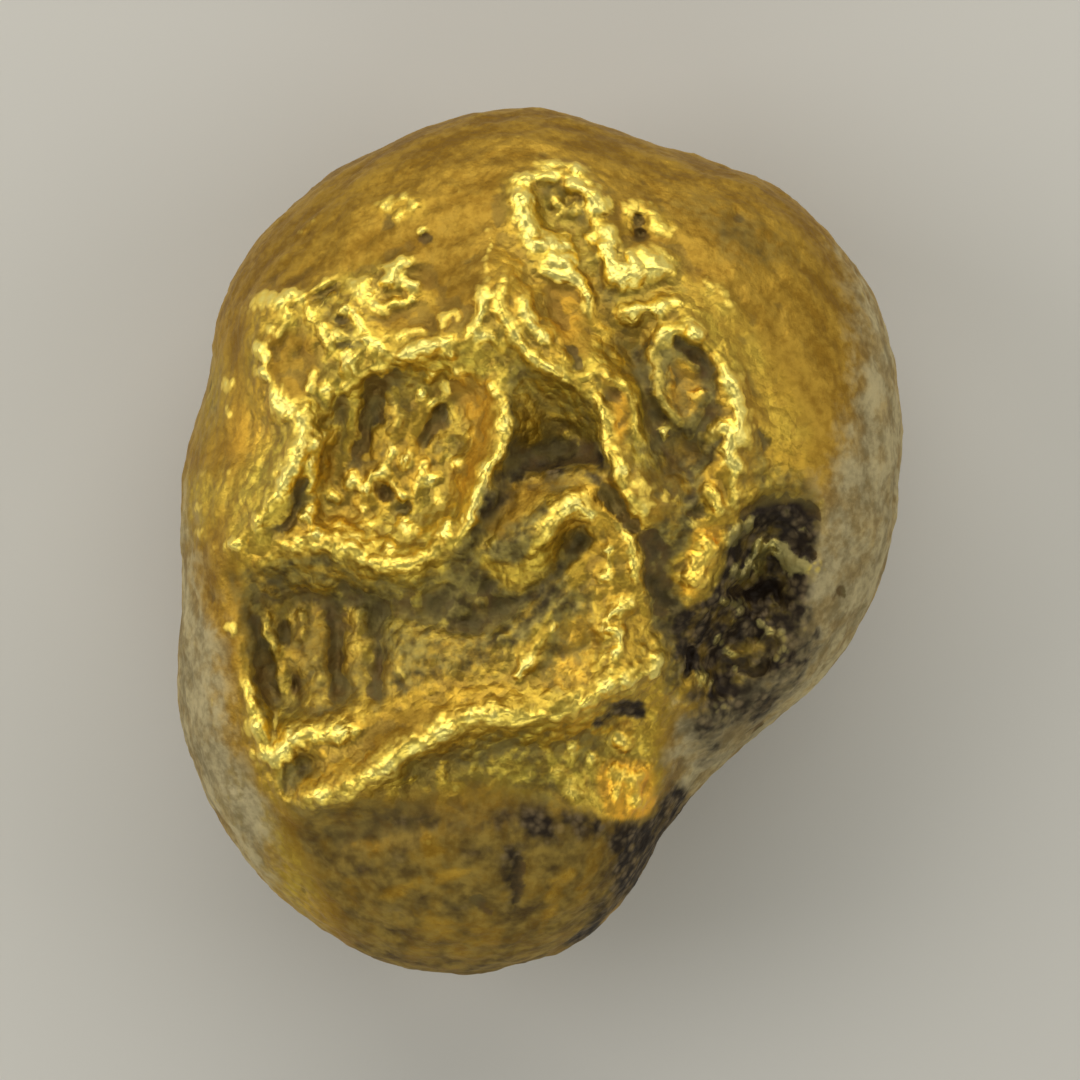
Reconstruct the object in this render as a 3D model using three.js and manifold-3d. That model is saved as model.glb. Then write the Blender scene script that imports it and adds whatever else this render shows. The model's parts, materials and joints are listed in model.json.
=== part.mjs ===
// A placer gold nugget: one lump of native gold, worn round by a stream, lying on its flatter side.
//
// Millimetres, +Z up. +Y runs along the nugget and +X across it. The origin is on the surface that the
// nugget rests on, under the middle of its outline. The upper face holds the folds and hollows that the
// gold kept from the rock it grew in; the rim and the underside are worn smooth.

import * as THREE from "three";
import { mergeVertices } from "three/addons/utils/BufferGeometryUtils.js";
import Module from "manifold-3d";

// Driving dimensions.
const LENGTH = 15.0; // along Y
const WIDTH = 12.5; // along X
const GIRTH_HEIGHT = 3.1; // height of the widest level above the resting face
const DOME = 4.1; // rise of the upper face above the widest level
const BELLY = 3.25; // depth of the underside below the widest level, before its lowest spot is worn flat

// How full the shoulders are: 1 is an ellipsoid, less is fuller.
const PLAN_FULLNESS = 0.9;
const DOME_FULLNESS = 0.78;
const BELLY_FULLNESS = 0.86;

// The ball that is shaped into the nugget, and how much more finely it is divided on the upper face.
const BALL_DETAIL = 19;
const UPPER_CROWDING = 0.6;

// The outline seen from above, anticlockwise from the right: round lobes, with a waist at the lower right.
const OUTLINE = [
  [6.2, 0.6], [6.25, 2.3], [5.9, 3.9], [5.2, 5.1], [4.2, 6.05], [3.2, 6.45], [2.2, 6.7], [1.2, 7.1],
  [-0.3, 7.45], [-1.8, 7.15], [-3.4, 6.4], [-4.7, 5.3], [-5.5, 4.0], [-5.75, 2.6], [-6.2, 0.9],
  [-6.2, -0.9], [-6.25, -2.3], [-6.0, -3.8], [-5.3, -5.3], [-4.2, -6.45], [-2.8, -7.25], [-1.3, -7.5],
  [0.3, -7.1], [1.4, -6.3], [2.1, -5.2], [2.65, -4.45], [3.7, -3.4], [4.8, -2.5], [5.6, -1.4], [6.05, -0.3],
];

// The upper face's hollows and folds are laid out on a plan that is drawn in to this share of its size.
const LAYOUT_SCALE = 0.975;

// Hollows in the upper face. Each is a loop seen from above, its depth, and the width of its sloping wall.
const HOLLOWS = {
  leftPan: {
    loop: [[-4.2, 1.4], [-3.9, 2.4], [-2.9, 2.9], [-1.9, 3.2], [-0.8, 3.0], [-0.5, 2.0], [-0.9, 0.5],
      [-1.5, -0.3], [-2.6, -0.5], [-3.7, -0.2], [-4.3, 0.4]],
    depth: 0.45, wall: 0.9,
  },
  centreWell: {
    loop: [[-0.6, 3.0], [0.5, 2.9], [1.2, 2.0], [1.3, 1.2], [0.4, 0.9], [-0.5, 0.2], [-1.0, 0.8],
      [-0.6, 1.8]],
    depth: 0.35, wall: 0.8,
  },
  middleTrough: {
    loop: [[-1.1, 0.6], [-0.1, 0.0], [0.5, -0.5], [0.0, -1.5], [-1.0, -2.0], [-2.5, -1.9],
      [-2.8, -0.7], [-1.7, -0.2]],
    depth: 0.3, wall: 0.8,
  },
  lowerPan: {
    loop: [[-5.3, -0.8], [-4.2, -0.3], [-3.0, -0.4], [-2.0, -0.9], [-2.3, -2.8], [-3.4, -3.2],
      [-4.6, -3.7], [-5.2, -2.4]],
    depth: 0.5, wall: 0.9,
  },
  rightPan: {
    loop: [[0.9, 3.9], [2.0, 4.0], [3.0, 3.4], [3.3, 2.4], [3.0, 1.2], [2.4, 0.6], [1.8, 1.4],
      [1.5, 2.5], [1.0, 3.1]],
    depth: 0.3, wall: 0.75,
  },
  topPocket: {
    loop: [[-0.4, 6.1], [0.8, 6.1], [1.1, 5.2], [0.9, 4.5], [0.0, 4.7], [-0.4, 5.4]],
    depth: 0.25, wall: 0.6,
  },
  darkCavity: {
    loop: [[3.0, 0.4], [3.9, 0.8], [4.9, 0.5], [4.9, -0.8], [4.3, -2.1], [3.5, -3.1], [2.6, -3.0],
      [2.1, -1.8], [2.7, -0.9]],
    depth: 0.85, wall: 1.2,
  },
  waist: {
    loop: [[1.9, -2.6], [2.7, -2.9], [3.6, -4.2], [2.9, -5.2], [2.1, -4.4]],
    depth: 0.4, wall: 0.9,
  },
  belowFold: {
    loop: [[-4.3, -4.7], [-2.8, -4.2], [-1.5, -3.3], [0.2, -3.2], [1.6, -2.7], [2.1, -4.0],
      [1.2, -5.0], [-1.6, -5.2], [-3.4, -5.6]],
    depth: 0.3, wall: 0.9,
  },
};

// Folds that stand up from the upper face. Each is a crest line seen from above, its height and its width.
const FOLDS = {
  leftWall: {
    crest: [[-4.9, 3.5], [-4.5, 2.6], [-4.1, 1.9], [-4.4, 1.0], [-4.9, 0.2], [-5.4, -0.2]],
    height: 0.25, width: 0.5,
  },
  shelf: {
    crest: [[-4.6, 4.0], [-3.6, 3.8], [-2.7, 3.3], [-1.8, 3.3], [-1.1, 3.5], [-0.9, 4.5]],
    height: 0.25, width: 0.5,
  },
  panDivide: { crest: [[-0.6, 2.3], [-0.8, 1.3], [-1.2, 0.1]], height: 0.25, width: 0.45 },
  bridge: {
    crest: [[-0.6, 4.2], [-0.3, 3.4], [0.5, 2.9], [1.2, 2.3], [1.4, 1.5], [1.7, 0.8], [2.1, 0.4]],
    height: 0.4, width: 0.5,
  },
  arch: {
    crest: [[-0.3, -0.3], [0.1, 0.4], [0.7, 0.75], [1.3, 0.4], [1.6, -0.5], [1.3, -1.4], [1.3, -2.2]],
    height: 0.35, width: 0.5,
  },
  longFold: {
    crest: [[-4.1, -4.4], [-3.0, -4.1], [-1.8, -3.2], [-0.6, -3.0], [0.8, -2.7], [1.7, -2.2]],
    height: 0.4, width: 0.5,
  },
  rightWall: {
    crest: [[2.5, 3.7], [3.2, 2.9], [3.4, 2.0], [3.2, 1.2], [3.0, 0.6]],
    height: 0.25, width: 0.45,
  },
  almond: { crest: [[2.2, 3.1], [2.3, 2.5], [2.6, 2.1]], height: 0.35, width: 0.45 },
  chin: { crest: [[-1.8, -5.6], [0.0, -5.5]], height: 0.35, width: 1.6 },
};

// Broad, shallow dents that the stream wore into the underside.
const DENTS = {
  keel: { crest: [[-3.4, -4.6], [-1.6, -1.8]], height: 0.45, width: 1.5 },
  hip: { crest: [[2.6, 4.4], [3.6, 2.2]], height: 0.5, width: 1.4 },
  heel: { crest: [[-3.8, 3.6], [-2.4, 4.6]], height: 0.35, width: 1.2 },
  notch: { crest: [[2.0, -3.6], [3.4, -1.6]], height: 0.4, width: 1.1 },
};

const smoothStep = (value) => THREE.MathUtils.smoothstep(value, 0, 1);

// The distance from a point to a line of points, and whether the closed loop of them holds it.
function distanceToLine(x, y, points, closed) {
  let nearest = Infinity;
  let inside = false;
  const segments = closed ? points.length : points.length - 1;
  for (let i = 0; i < segments; i++) {
    const [ax, ay] = points[i];
    const [bx, by] = points[(i + 1) % points.length];
    const along = ((x - ax) * (bx - ax) + (y - ay) * (by - ay)) / ((bx - ax) ** 2 + (by - ay) ** 2);
    const share = THREE.MathUtils.clamp(along, 0, 1);
    nearest = Math.min(nearest, Math.hypot(x - ax - share * (bx - ax), y - ay - share * (by - ay)));
    const crosses = ay > y !== by > y && x < ax + ((y - ay) / (by - ay)) * (bx - ax);
    if (crosses) inside = !inside;
  }
  return { nearest, inside };
}

// How far a hollow takes the surface down at a point: nothing outside its loop, all of it past its wall.
function hollowDepth(x, y, { loop, depth, wall }) {
  const { nearest, inside } = distanceToLine(x, y, loop, true);
  return inside ? depth * smoothStep(nearest / wall) : 0;
}

// How far a fold lifts the surface at a point: a round crest that dies away over its width.
function foldHeight(x, y, { crest, height, width }) {
  const { nearest } = distanceToLine(x, y, crest, false);
  return height * Math.exp(-((nearest / width) ** 2));
}

const upperRelief = (x, y) =>
  Object.values(FOLDS).reduce((sum, fold) => sum + foldHeight(x, y, fold), 0) -
  Object.values(HOLLOWS).reduce((sum, hollow) => sum + hollowDepth(x, y, hollow), 0);

const lowerRelief = (x, y) =>
  Object.values(DENTS).reduce((sum, dent) => sum + foldHeight(x, y, dent), 0);

// The outline's radius by angle, from a smooth closed curve through its points, fitted to the driving sizes.
function outlineRadius() {
  const curve = new THREE.CatmullRomCurve3(
    OUTLINE.map(([x, y]) => new THREE.Vector3(x, y, 0)),
    true,
    "centripetal",
  );
  const points = curve.getPoints(720);
  const box = new THREE.Box3().setFromPoints(points);
  const size = box.getSize(new THREE.Vector3());
  const middle = box.getCenter(new THREE.Vector3());
  const polar = points
    .map((p) => {
      const x = ((p.x - middle.x) * WIDTH) / size.x;
      const y = ((p.y - middle.y) * LENGTH) / size.y;
      return { angle: Math.atan2(y, x), radius: Math.hypot(x, y) };
    })
    .sort((a, b) => a.angle - b.angle);
  return (angle) => {
    const after = polar.findIndex((p) => p.angle >= angle);
    const high = polar[after < 0 ? 0 : after];
    const low = polar[after <= 0 ? polar.length - 1 : after - 1];
    const turn = (from, to) => THREE.MathUtils.euclideanModulo(to - from, 2 * Math.PI);
    const span = turn(low.angle, high.angle);
    return THREE.MathUtils.lerp(low.radius, high.radius, span ? turn(low.angle, angle) / span : 0);
  };
}

// The ball's directions, crowded towards the top without stretching its triangles.
function crowdedBall() {
  const ball = new THREE.IcosahedronGeometry(1, BALL_DETAIL);
  ball.deleteAttribute("normal");
  ball.deleteAttribute("uv");
  const merged = mergeVertices(ball, 1e-5);
  const place = merged.attributes.position;
  const direction = new THREE.Vector3();
  for (let i = 0; i < place.count; i++) {
    direction.fromBufferAttribute(place, i).normalize();
    const polar = Math.acos(THREE.MathUtils.clamp(direction.z, -1, 1));
    const angle = Math.atan2(direction.y, direction.x);
    const crowded = 2 * Math.atan(UPPER_CROWDING * Math.tan(Math.min(polar, Math.PI - 1e-6) / 2));
    direction.setFromSphericalCoords(1, crowded, angle);
    place.setXYZ(i, direction.z, direction.x, direction.y);
  }
  return merged;
}

// The ball shaped into the nugget, still round underneath.
function shapedLump() {
  const lump = crowdedBall();
  const radiusAt = outlineRadius();
  const place = lump.attributes.position;
  for (let i = 0; i < place.count; i++) {
    const flat = Math.hypot(place.getX(i), place.getY(i));
    const rise = place.getZ(i);
    const angle = Math.atan2(place.getY(i), place.getX(i));
    const radius = radiusAt(angle) * flat ** PLAN_FULLNESS;
    const x = radius * Math.cos(angle);
    const y = radius * Math.sin(angle);
    const upper = rise > 0;
    const relief = upper ? upperRelief(x / LAYOUT_SCALE, y / LAYOUT_SCALE) : lowerRelief(x, y);
    const smooth = upper ? DOME * rise ** DOME_FULLNESS : -BELLY * (-rise) ** BELLY_FULLNESS;
    const share = smoothStep(Math.abs(rise) / 0.55);
    place.setXYZ(i, x, y, GIRTH_HEIGHT + smooth + relief * share);
  }
  return lump;
}

const wasm = await Module();
wasm.setup();

function solidOf(geometry) {
  const bare = geometry.clone();
  bare.deleteAttribute("normal");
  bare.deleteAttribute("uv");
  const merged = mergeVertices(bare, 1e-4);
  return new wasm.Manifold(
    new wasm.Mesh({
      numProp: 3,
      vertProperties: merged.attributes.position.array,
      triVerts: new Uint32Array(merged.index.array),
    }),
  );
}

function geometryOf(solid) {
  const mesh = solid.getMesh();
  return new THREE.BufferGeometry()
    .setAttribute("position", new THREE.BufferAttribute(mesh.vertProperties, 3))
    .setIndex(new THREE.BufferAttribute(mesh.triVerts, 1));
}

// The lump with its lowest spot worn flat at z = 0, which is the face it rests on.
function wornNugget() {
  const below = new THREE.BoxGeometry(2 * WIDTH, 2 * LENGTH, BELLY);
  below.translate(0, 0, -BELLY / 2);
  const geometry = geometryOf(solidOf(shapedLump()).subtract(solidOf(below)));
  geometry.computeVertexNormals();
  return geometry;
}

const gold = new THREE.MeshStandardMaterial({ color: 0xc99a2e, metalness: 1, roughness: 0.32 });

const nugget = new THREE.Mesh(wornNugget(), gold);
nugget.name = "nugget";

const part = new THREE.Group();
part.add(nugget);

export default part;
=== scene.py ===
# A placer gold nugget, worn round by a stream, lying on its flatter side and seen from above.

import json

import bpy
import numpy as np
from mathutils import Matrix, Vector, noise

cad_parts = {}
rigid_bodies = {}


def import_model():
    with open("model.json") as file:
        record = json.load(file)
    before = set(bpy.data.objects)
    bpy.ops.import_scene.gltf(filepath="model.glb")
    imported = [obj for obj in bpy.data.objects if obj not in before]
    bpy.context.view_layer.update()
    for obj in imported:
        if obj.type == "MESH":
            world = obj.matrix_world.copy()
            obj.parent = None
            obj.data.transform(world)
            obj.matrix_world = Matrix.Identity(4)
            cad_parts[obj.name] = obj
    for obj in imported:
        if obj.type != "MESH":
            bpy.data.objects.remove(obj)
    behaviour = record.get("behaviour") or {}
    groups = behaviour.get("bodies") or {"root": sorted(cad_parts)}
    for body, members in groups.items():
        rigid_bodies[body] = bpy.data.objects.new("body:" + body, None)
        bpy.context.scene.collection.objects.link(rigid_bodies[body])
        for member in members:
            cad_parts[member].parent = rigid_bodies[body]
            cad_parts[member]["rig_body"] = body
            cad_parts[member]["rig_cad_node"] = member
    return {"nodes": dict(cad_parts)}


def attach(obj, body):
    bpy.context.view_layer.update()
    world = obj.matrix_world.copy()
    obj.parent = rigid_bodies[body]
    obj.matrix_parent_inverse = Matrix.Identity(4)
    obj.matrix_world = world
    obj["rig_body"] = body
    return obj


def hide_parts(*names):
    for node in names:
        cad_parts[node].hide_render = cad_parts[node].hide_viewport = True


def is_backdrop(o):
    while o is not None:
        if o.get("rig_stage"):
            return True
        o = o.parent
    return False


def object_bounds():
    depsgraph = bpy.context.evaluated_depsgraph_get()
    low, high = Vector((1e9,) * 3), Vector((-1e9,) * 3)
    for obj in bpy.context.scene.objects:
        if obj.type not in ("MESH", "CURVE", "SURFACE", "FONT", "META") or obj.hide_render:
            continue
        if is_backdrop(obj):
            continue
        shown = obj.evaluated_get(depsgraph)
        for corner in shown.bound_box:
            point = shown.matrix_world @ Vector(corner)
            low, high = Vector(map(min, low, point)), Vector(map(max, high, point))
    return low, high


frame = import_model()
low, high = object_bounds()
middle = (low + high) / 2
length = high.y - low.y


# The table and the light. A pale matt sheet under the nugget, one long soft light beyond its broad end,
# a softer one at each side, and a camera that looks straight down on it.
def soft_light(name, direction, distance, size, power, colour):
    """A soft light so many nugget lengths away, facing the nugget."""
    away = Vector(direction).normalized()
    bpy.ops.object.light_add(type="AREA", location=middle + away * distance * length)
    light = bpy.context.object
    light.name = name
    light.rotation_mode = "QUATERNION"
    light.rotation_quaternion = away.to_track_quat("Z", "Y")
    light.data.shape = "RECTANGLE"
    light.data.size = size[0] * length
    light.data.size_y = size[1] * length
    light.data.energy = power
    light.data.color = colour


bpy.ops.object.select_all(action="DESELECT")
bpy.ops.mesh.primitive_plane_add(size=60 * length, location=(0, 0, low.z))
table = bpy.context.object
table.name = "table"
table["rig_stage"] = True
sheet = bpy.data.materials.new("pale_sheet")
sheet.use_nodes = True
sheet_shader = sheet.node_tree.nodes["Principled BSDF"]
sheet_shader.inputs["Base Color"].default_value = (0.62, 0.6, 0.57, 1)
sheet_shader.inputs["Roughness"].default_value = 0.8
table.data.materials.append(sheet)

LENS = 150
FRAME_FILL = 0.812
OUTLINE_LEVEL = 0.55
bpy.ops.object.camera_add(location=(middle.x, middle.y, 0), rotation=(0, 0, 0))
camera = bpy.context.object
camera.data.lens = LENS
camera.data.clip_start = 0.001
camera.location.z = high.z * OUTLINE_LEVEL + length / FRAME_FILL * LENS / camera.data.sensor_width
bpy.context.scene.camera = camera

soft_light("end_light", (0.0, 0.85, 0.6), 9, (12, 6), 0.12, (1.0, 0.97, 0.88))
soft_light("left_light", (-0.9, 0.1, 0.5), 9, (5, 8), 0.07, (1.0, 0.97, 0.92))
soft_light("right_light", (0.9, 0.05, 0.5), 9, (5, 8), 0.04, (1.0, 0.97, 0.92))
soft_light("near_light", (0.0, -0.9, 0.5), 9, (10, 5), 0.052, (0.98, 1.0, 0.9))
room = bpy.data.worlds.new("studio")
bpy.context.scene.world = room
room.use_nodes = True
backdrop = room.node_tree.nodes["Background"]
backdrop.inputs["Color"].default_value = (0.86, 0.9, 0.84, 1)
backdrop.inputs["Strength"].default_value = 0.24
bpy.context.scene.view_settings.view_transform = "Standard"


# The nugget, the lump. It is one piece of native gold. A copy of the solid lump is divided finely
# enough to take the creases that the gold kept from the rock it grew in.
MM = 0.001
JOINED_WITHIN = 0.002
bpy.ops.object.select_all(action="DESELECT")
lump = frame["nodes"]["nugget"]
nugget = lump.copy()
nugget.data = lump.data.copy()
nugget.name = "gold_nugget"
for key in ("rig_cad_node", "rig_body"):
    if key in nugget:
        del nugget[key]
nugget.parent = None
bpy.context.scene.collection.objects.link(nugget)
bpy.context.view_layer.objects.active = nugget
nugget.select_set(True)
bpy.ops.object.mode_set(mode="EDIT")
bpy.ops.mesh.select_all(action="SELECT")
bpy.ops.mesh.remove_doubles(threshold=JOINED_WITHIN * MM)
bpy.ops.object.mode_set(mode="OBJECT")
finer = nugget.modifiers.new("finer", "SUBSURF")
finer.levels = 2
finer.render_levels = 2
bpy.ops.object.modifier_apply(modifier="finer")
bpy.ops.object.shade_smooth()


def places():
    """Every vertex's place in millimetres."""
    found = np.empty(len(nugget.data.vertices) * 3)
    nugget.data.vertices.foreach_get("co", found)
    return found.reshape(-1, 3) / MM


def fade(value):
    """From 0 to 1 smoothly, as the value goes from 0 to 1."""
    value = np.clip(value, 0, 1)
    return value * value * (3 - 2 * value)


# The upper face begins at the girth. The folds are laid out on a plan of it, in millimetres from the
# nugget's middle, and no line on them is quite true. The painted marks, stains and painted shade alike, end
# raggedly, some way down the sides.
spots = places()
GIRTH = 0.42 * spots[:, 2].max()
SHOULDER = 1.2
MARKED_FROM = 2.4
MARKED_OVER = 1.6
LAYOUT = 1.025
WANDER_SEED = 7
upper = fade((spots[:, 2] - GIRTH) / SHOULDER)
noise.seed_set(WANDER_SEED)
wander = np.zeros((len(spots), 3))
for size in (1.1, 0.4, 0.16):
    wander += np.array([noise.noise_vector(Vector(p / size)) for p in spots]) * 0.05
beading = np.array([1 - min(noise.voronoi(Vector(p / 0.2))[0][0], 1) for p in spots])
wearing = np.array([noise.noise(Vector(p / 0.5)) for p in spots])
tide = 2.2 * np.array([noise.noise(Vector(p / 1.1)) for p in spots])
topside = fade((spots[:, 2] - MARKED_FROM + tide) / MARKED_OVER)
plan = spots[:, :2] * LAYOUT + wander[:, :2]


def drawn(points, closed=False):
    """A smooth line through given points, as points 0.04 mm apart or closer."""
    ends = np.array(points, float)
    count = len(ends)
    if count == 1:
        return ends
    line = []
    for i in range(count if closed else count - 1):
        a, b, c, d = (
            (ends[(i + k) % count] for k in (-1, 0, 1, 2))
            if closed
            else (ends[min(max(i + k, 0), count - 1)] for k in (-1, 0, 1, 2))
        )
        for t in np.linspace(0, 1, 2 + int(np.linalg.norm(c - b) / 0.04))[:-1]:
            line.append(0.5 * (2 * b + (c - a) * t + (2 * a - 5 * b + 4 * c - d) * t * t
                               + (3 * b - a - 3 * c + d) * t ** 3))
    line.append(ends[0] if closed else ends[-1])
    return np.array(line)


def near(points, reach, closed=False):
    """The vertices within reach of a line, how far off they are, how far along, and whether on its left."""
    line = drawn(points, closed)
    boxed = np.all((plan > line.min(0) - reach) & (plan < line.max(0) + reach), axis=1)
    which = np.nonzero(boxed)[0]
    gaps = np.linalg.norm(plan[which, None, :] - line[None, :, :], axis=2)
    nearest = gaps.argmin(axis=1)
    share = nearest / max(len(line) - 1, 1)
    heading = np.gradient(line, axis=0)[nearest] if len(line) > 1 else np.tile((1.0, 0.0), (len(which), 1))
    away = plan[which] - line[nearest]
    left = heading[:, 0] * away[:, 1] - heading[:, 1] * away[:, 0] > 0
    return which, gaps[np.arange(len(which)), nearest], share, left


# crest holds a painted highlight on worn-bright gold; furrow holds dirt with painted shade
crest = np.zeros(len(spots))
furrow = np.zeros(len(spots))
TAPER = 0.2
FULL_CREASE = 0.16
FULL_BEAD = 0.12
WIDEST_STROKE = 0.2


def crease(rise, height, width, points, shine=1.0):
    """Adds a crest, or with a height below zero a furrow, along a line. Its width may differ on its left
    and its right. It tapers at both ends, and a crest is uneven along its length and gets a painted
    highlight on worn-bright gold, as strong as its shine; a furrow gets dirt and painted shade."""
    on_left, on_right = width if isinstance(width, tuple) else (width, width)
    widest = max(on_left, on_right)
    lone = len(points) == 1
    which, gap, share, left = near(points, 2.4 * widest)
    taper = 1.0 if lone else fade(share / TAPER) * fade((1 - share) / TAPER) * 0.8 + 0.2
    uneven = 0.45 + 0.95 * beading[which] if height > 0 and not lone else 1.0
    flank = np.where(left, on_left, on_right)
    rise[which] += height * taper * uneven * np.exp(-((gap / flank) ** 2))
    if lone:
        faint = 1.3
        bold = min(abs(height) / FULL_BEAD, 1)
    else:
        faint = 0.3 if widest > 0.4 else 0.8
        if height > 0:
            faint = shine * np.clip(0.9 + 0.7 * wearing[which], 0.5, 1)
        bold = min(abs(height) / FULL_CREASE, 1) ** 1.5
    # the stroke paints a highlight along a crest, or dirt and shade along a furrow
    stroke = faint * bold * taper * np.exp(-((gap / np.minimum(1.2 * flank, WIDEST_STROKE)) ** 2))
    trace = crest if height > 0 else furrow
    trace[which] = np.maximum(trace[which], stroke)


def within(points, wall):
    """How far each vertex is inside a loop: 0 outside and at its edge, 1 from a wall's width inwards."""
    which, gap, _, _ = near(points, 0.0, closed=True)
    line = drawn(points, closed=True)
    x, y = plan[which, 0][:, None], plan[which, 1][:, None]
    ax, ay = line[:-1, 0], line[:-1, 1]
    bx, by = line[1:, 0], line[1:, 1]
    crosses = (ay > y) != (by > y)
    step = np.where(by == ay, 1, by - ay)
    odd = (crosses & (x < ax + (y - ay) / step * (bx - ax))).sum(axis=1) % 2 == 1
    held = np.zeros(len(plan))
    held[which] = np.where(odd, fade(gap / wall), 0)
    return held


LEAST_MOVE = 1e-4


def press(name, rise, direction="Z"):
    """Moves the skin out by the millimetres given for each vertex, through a painted weight."""
    for sign, part in ((1, np.clip(rise, 0, None)), (-1, np.clip(-rise, 0, None))):
        most = part.max()
        if most < LEAST_MOVE:
            continue
        group = nugget.vertex_groups.new(name=name)
        for i in np.nonzero(part > LEAST_MOVE)[0]:
            group.add([int(i)], part[i] / most, "REPLACE")
        push = nugget.modifiers.new(name, "DISPLACE")
        push.vertex_group = group.name
        push.direction = direction
        push.strength = sign * most * MM
        push.mid_level = 0.0
        bpy.ops.object.modifier_apply(modifier=name)
        nugget.vertex_groups.remove(nugget.vertex_groups[name])


def rub_down(rounds):
    """Rounds off the sharpest edges, as tumbling does."""
    soften = nugget.modifiers.new("rubbed_down", "SMOOTH")
    soften.factor = 0.5
    soften.iterations = rounds
    bpy.ops.object.modifier_apply(modifier="rubbed_down")


# The nugget, the hollows. Each is a loop seen from above with its depth and the width of its wall.
HOLLOWS = [
    # the left pan and the well beside it
    (0.12, 0.6, [(-3.95, 2.2), (-3.3, 2.75), (-2.5, 3.0), (-1.5, 3.05), (-0.75, 2.95), (-0.6, 2.2),
                 (-0.85, 1.4), (-1.15, 0.2), (-1.6, -0.1), (-2.3, -0.4), (-3.2, -0.2), (-3.9, 0.1),
                 (-4.0, 1.0)]),
    (0.07, 0.3, [(-0.45, 2.85), (0.3, 2.6), (0.8, 2.35), (1.0, 2.0), (1.1, 1.5), (0.5, 1.25), (-0.1, 1.3),
                 (-0.5, 1.6)]),
    # the trough from the well down to the middle, and the pit under the arch
    (0.15, 0.3, [(-0.5, 1.6), (-0.2, 1.1), (-0.4, 0.4), (-0.8, -0.2), (-1.3, -0.6), (-1.3, -0.1),
                 (-1.05, 0.5), (-0.8, 1.3)]),
    (0.16, 0.3, [(0.6, 0.45), (0.9, 0.2), (0.75, -0.4), (0.1, -1.0), (-0.4, -1.5), (-1.3, -1.7), (-1.6, -1.3),
                 (-0.7, -0.9), (0.0, -0.5), (0.3, 0.0)]),
    # the lower pan and the small hollow below it
    (0.2, 0.4, [(-5.0, -1.1), (-4.3, -0.7), (-3.3, -0.65), (-2.5, -0.9), (-2.3, -1.4), (-2.6, -2.4),
                (-2.9, -3.0),
                (-3.6, -3.0), (-4.2, -3.05), (-4.5, -3.4), (-4.8, -3.1), (-5.0, -2.0)]),
    (0.2, 0.2, [(-4.45, -4.4), (-4.4, -3.9), (-4.05, -3.6), (-3.7, -3.7), (-3.85, -4.1), (-4.2, -4.5)]),
    # the right pan round the almond
    (0.06, 0.3, [(1.0, 3.5), (1.9, 3.6), (2.7, 3.4), (3.05, 2.7), (3.1, 1.9), (2.8, 1.1), (2.2, 1.1),
                 (1.7, 1.7),
                 (1.7, 2.4), (1.3, 3.0)]),
    # the top pocket
    (0.05, 0.2, [(-0.05, 6.1), (0.35, 6.15), (0.8, 6.0), (0.85, 5.4), (0.95, 4.8), (1.15, 4.3), (0.85, 4.1),
                 (0.75, 4.8), (0.65, 5.3), (0.0, 5.4)]),
    # the floor of the dark cavity
    (0.12, 0.4, [(3.2, 0.3), (3.9, 0.65), (4.5, 0.6), (4.8, 0.1), (4.5, -0.9), (4.3, -1.9), (3.8, -2.7),
                 (3.0, -2.9),
                 (2.5, -2.4), (2.35, -1.7), (2.9, -1.0), (3.1, -0.5)]),
]
sunk = np.zeros(len(spots))
for depth, wall, loop in HOLLOWS:
    sunk -= depth * within(loop, wall)
press("hollows", sunk * upper)
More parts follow.
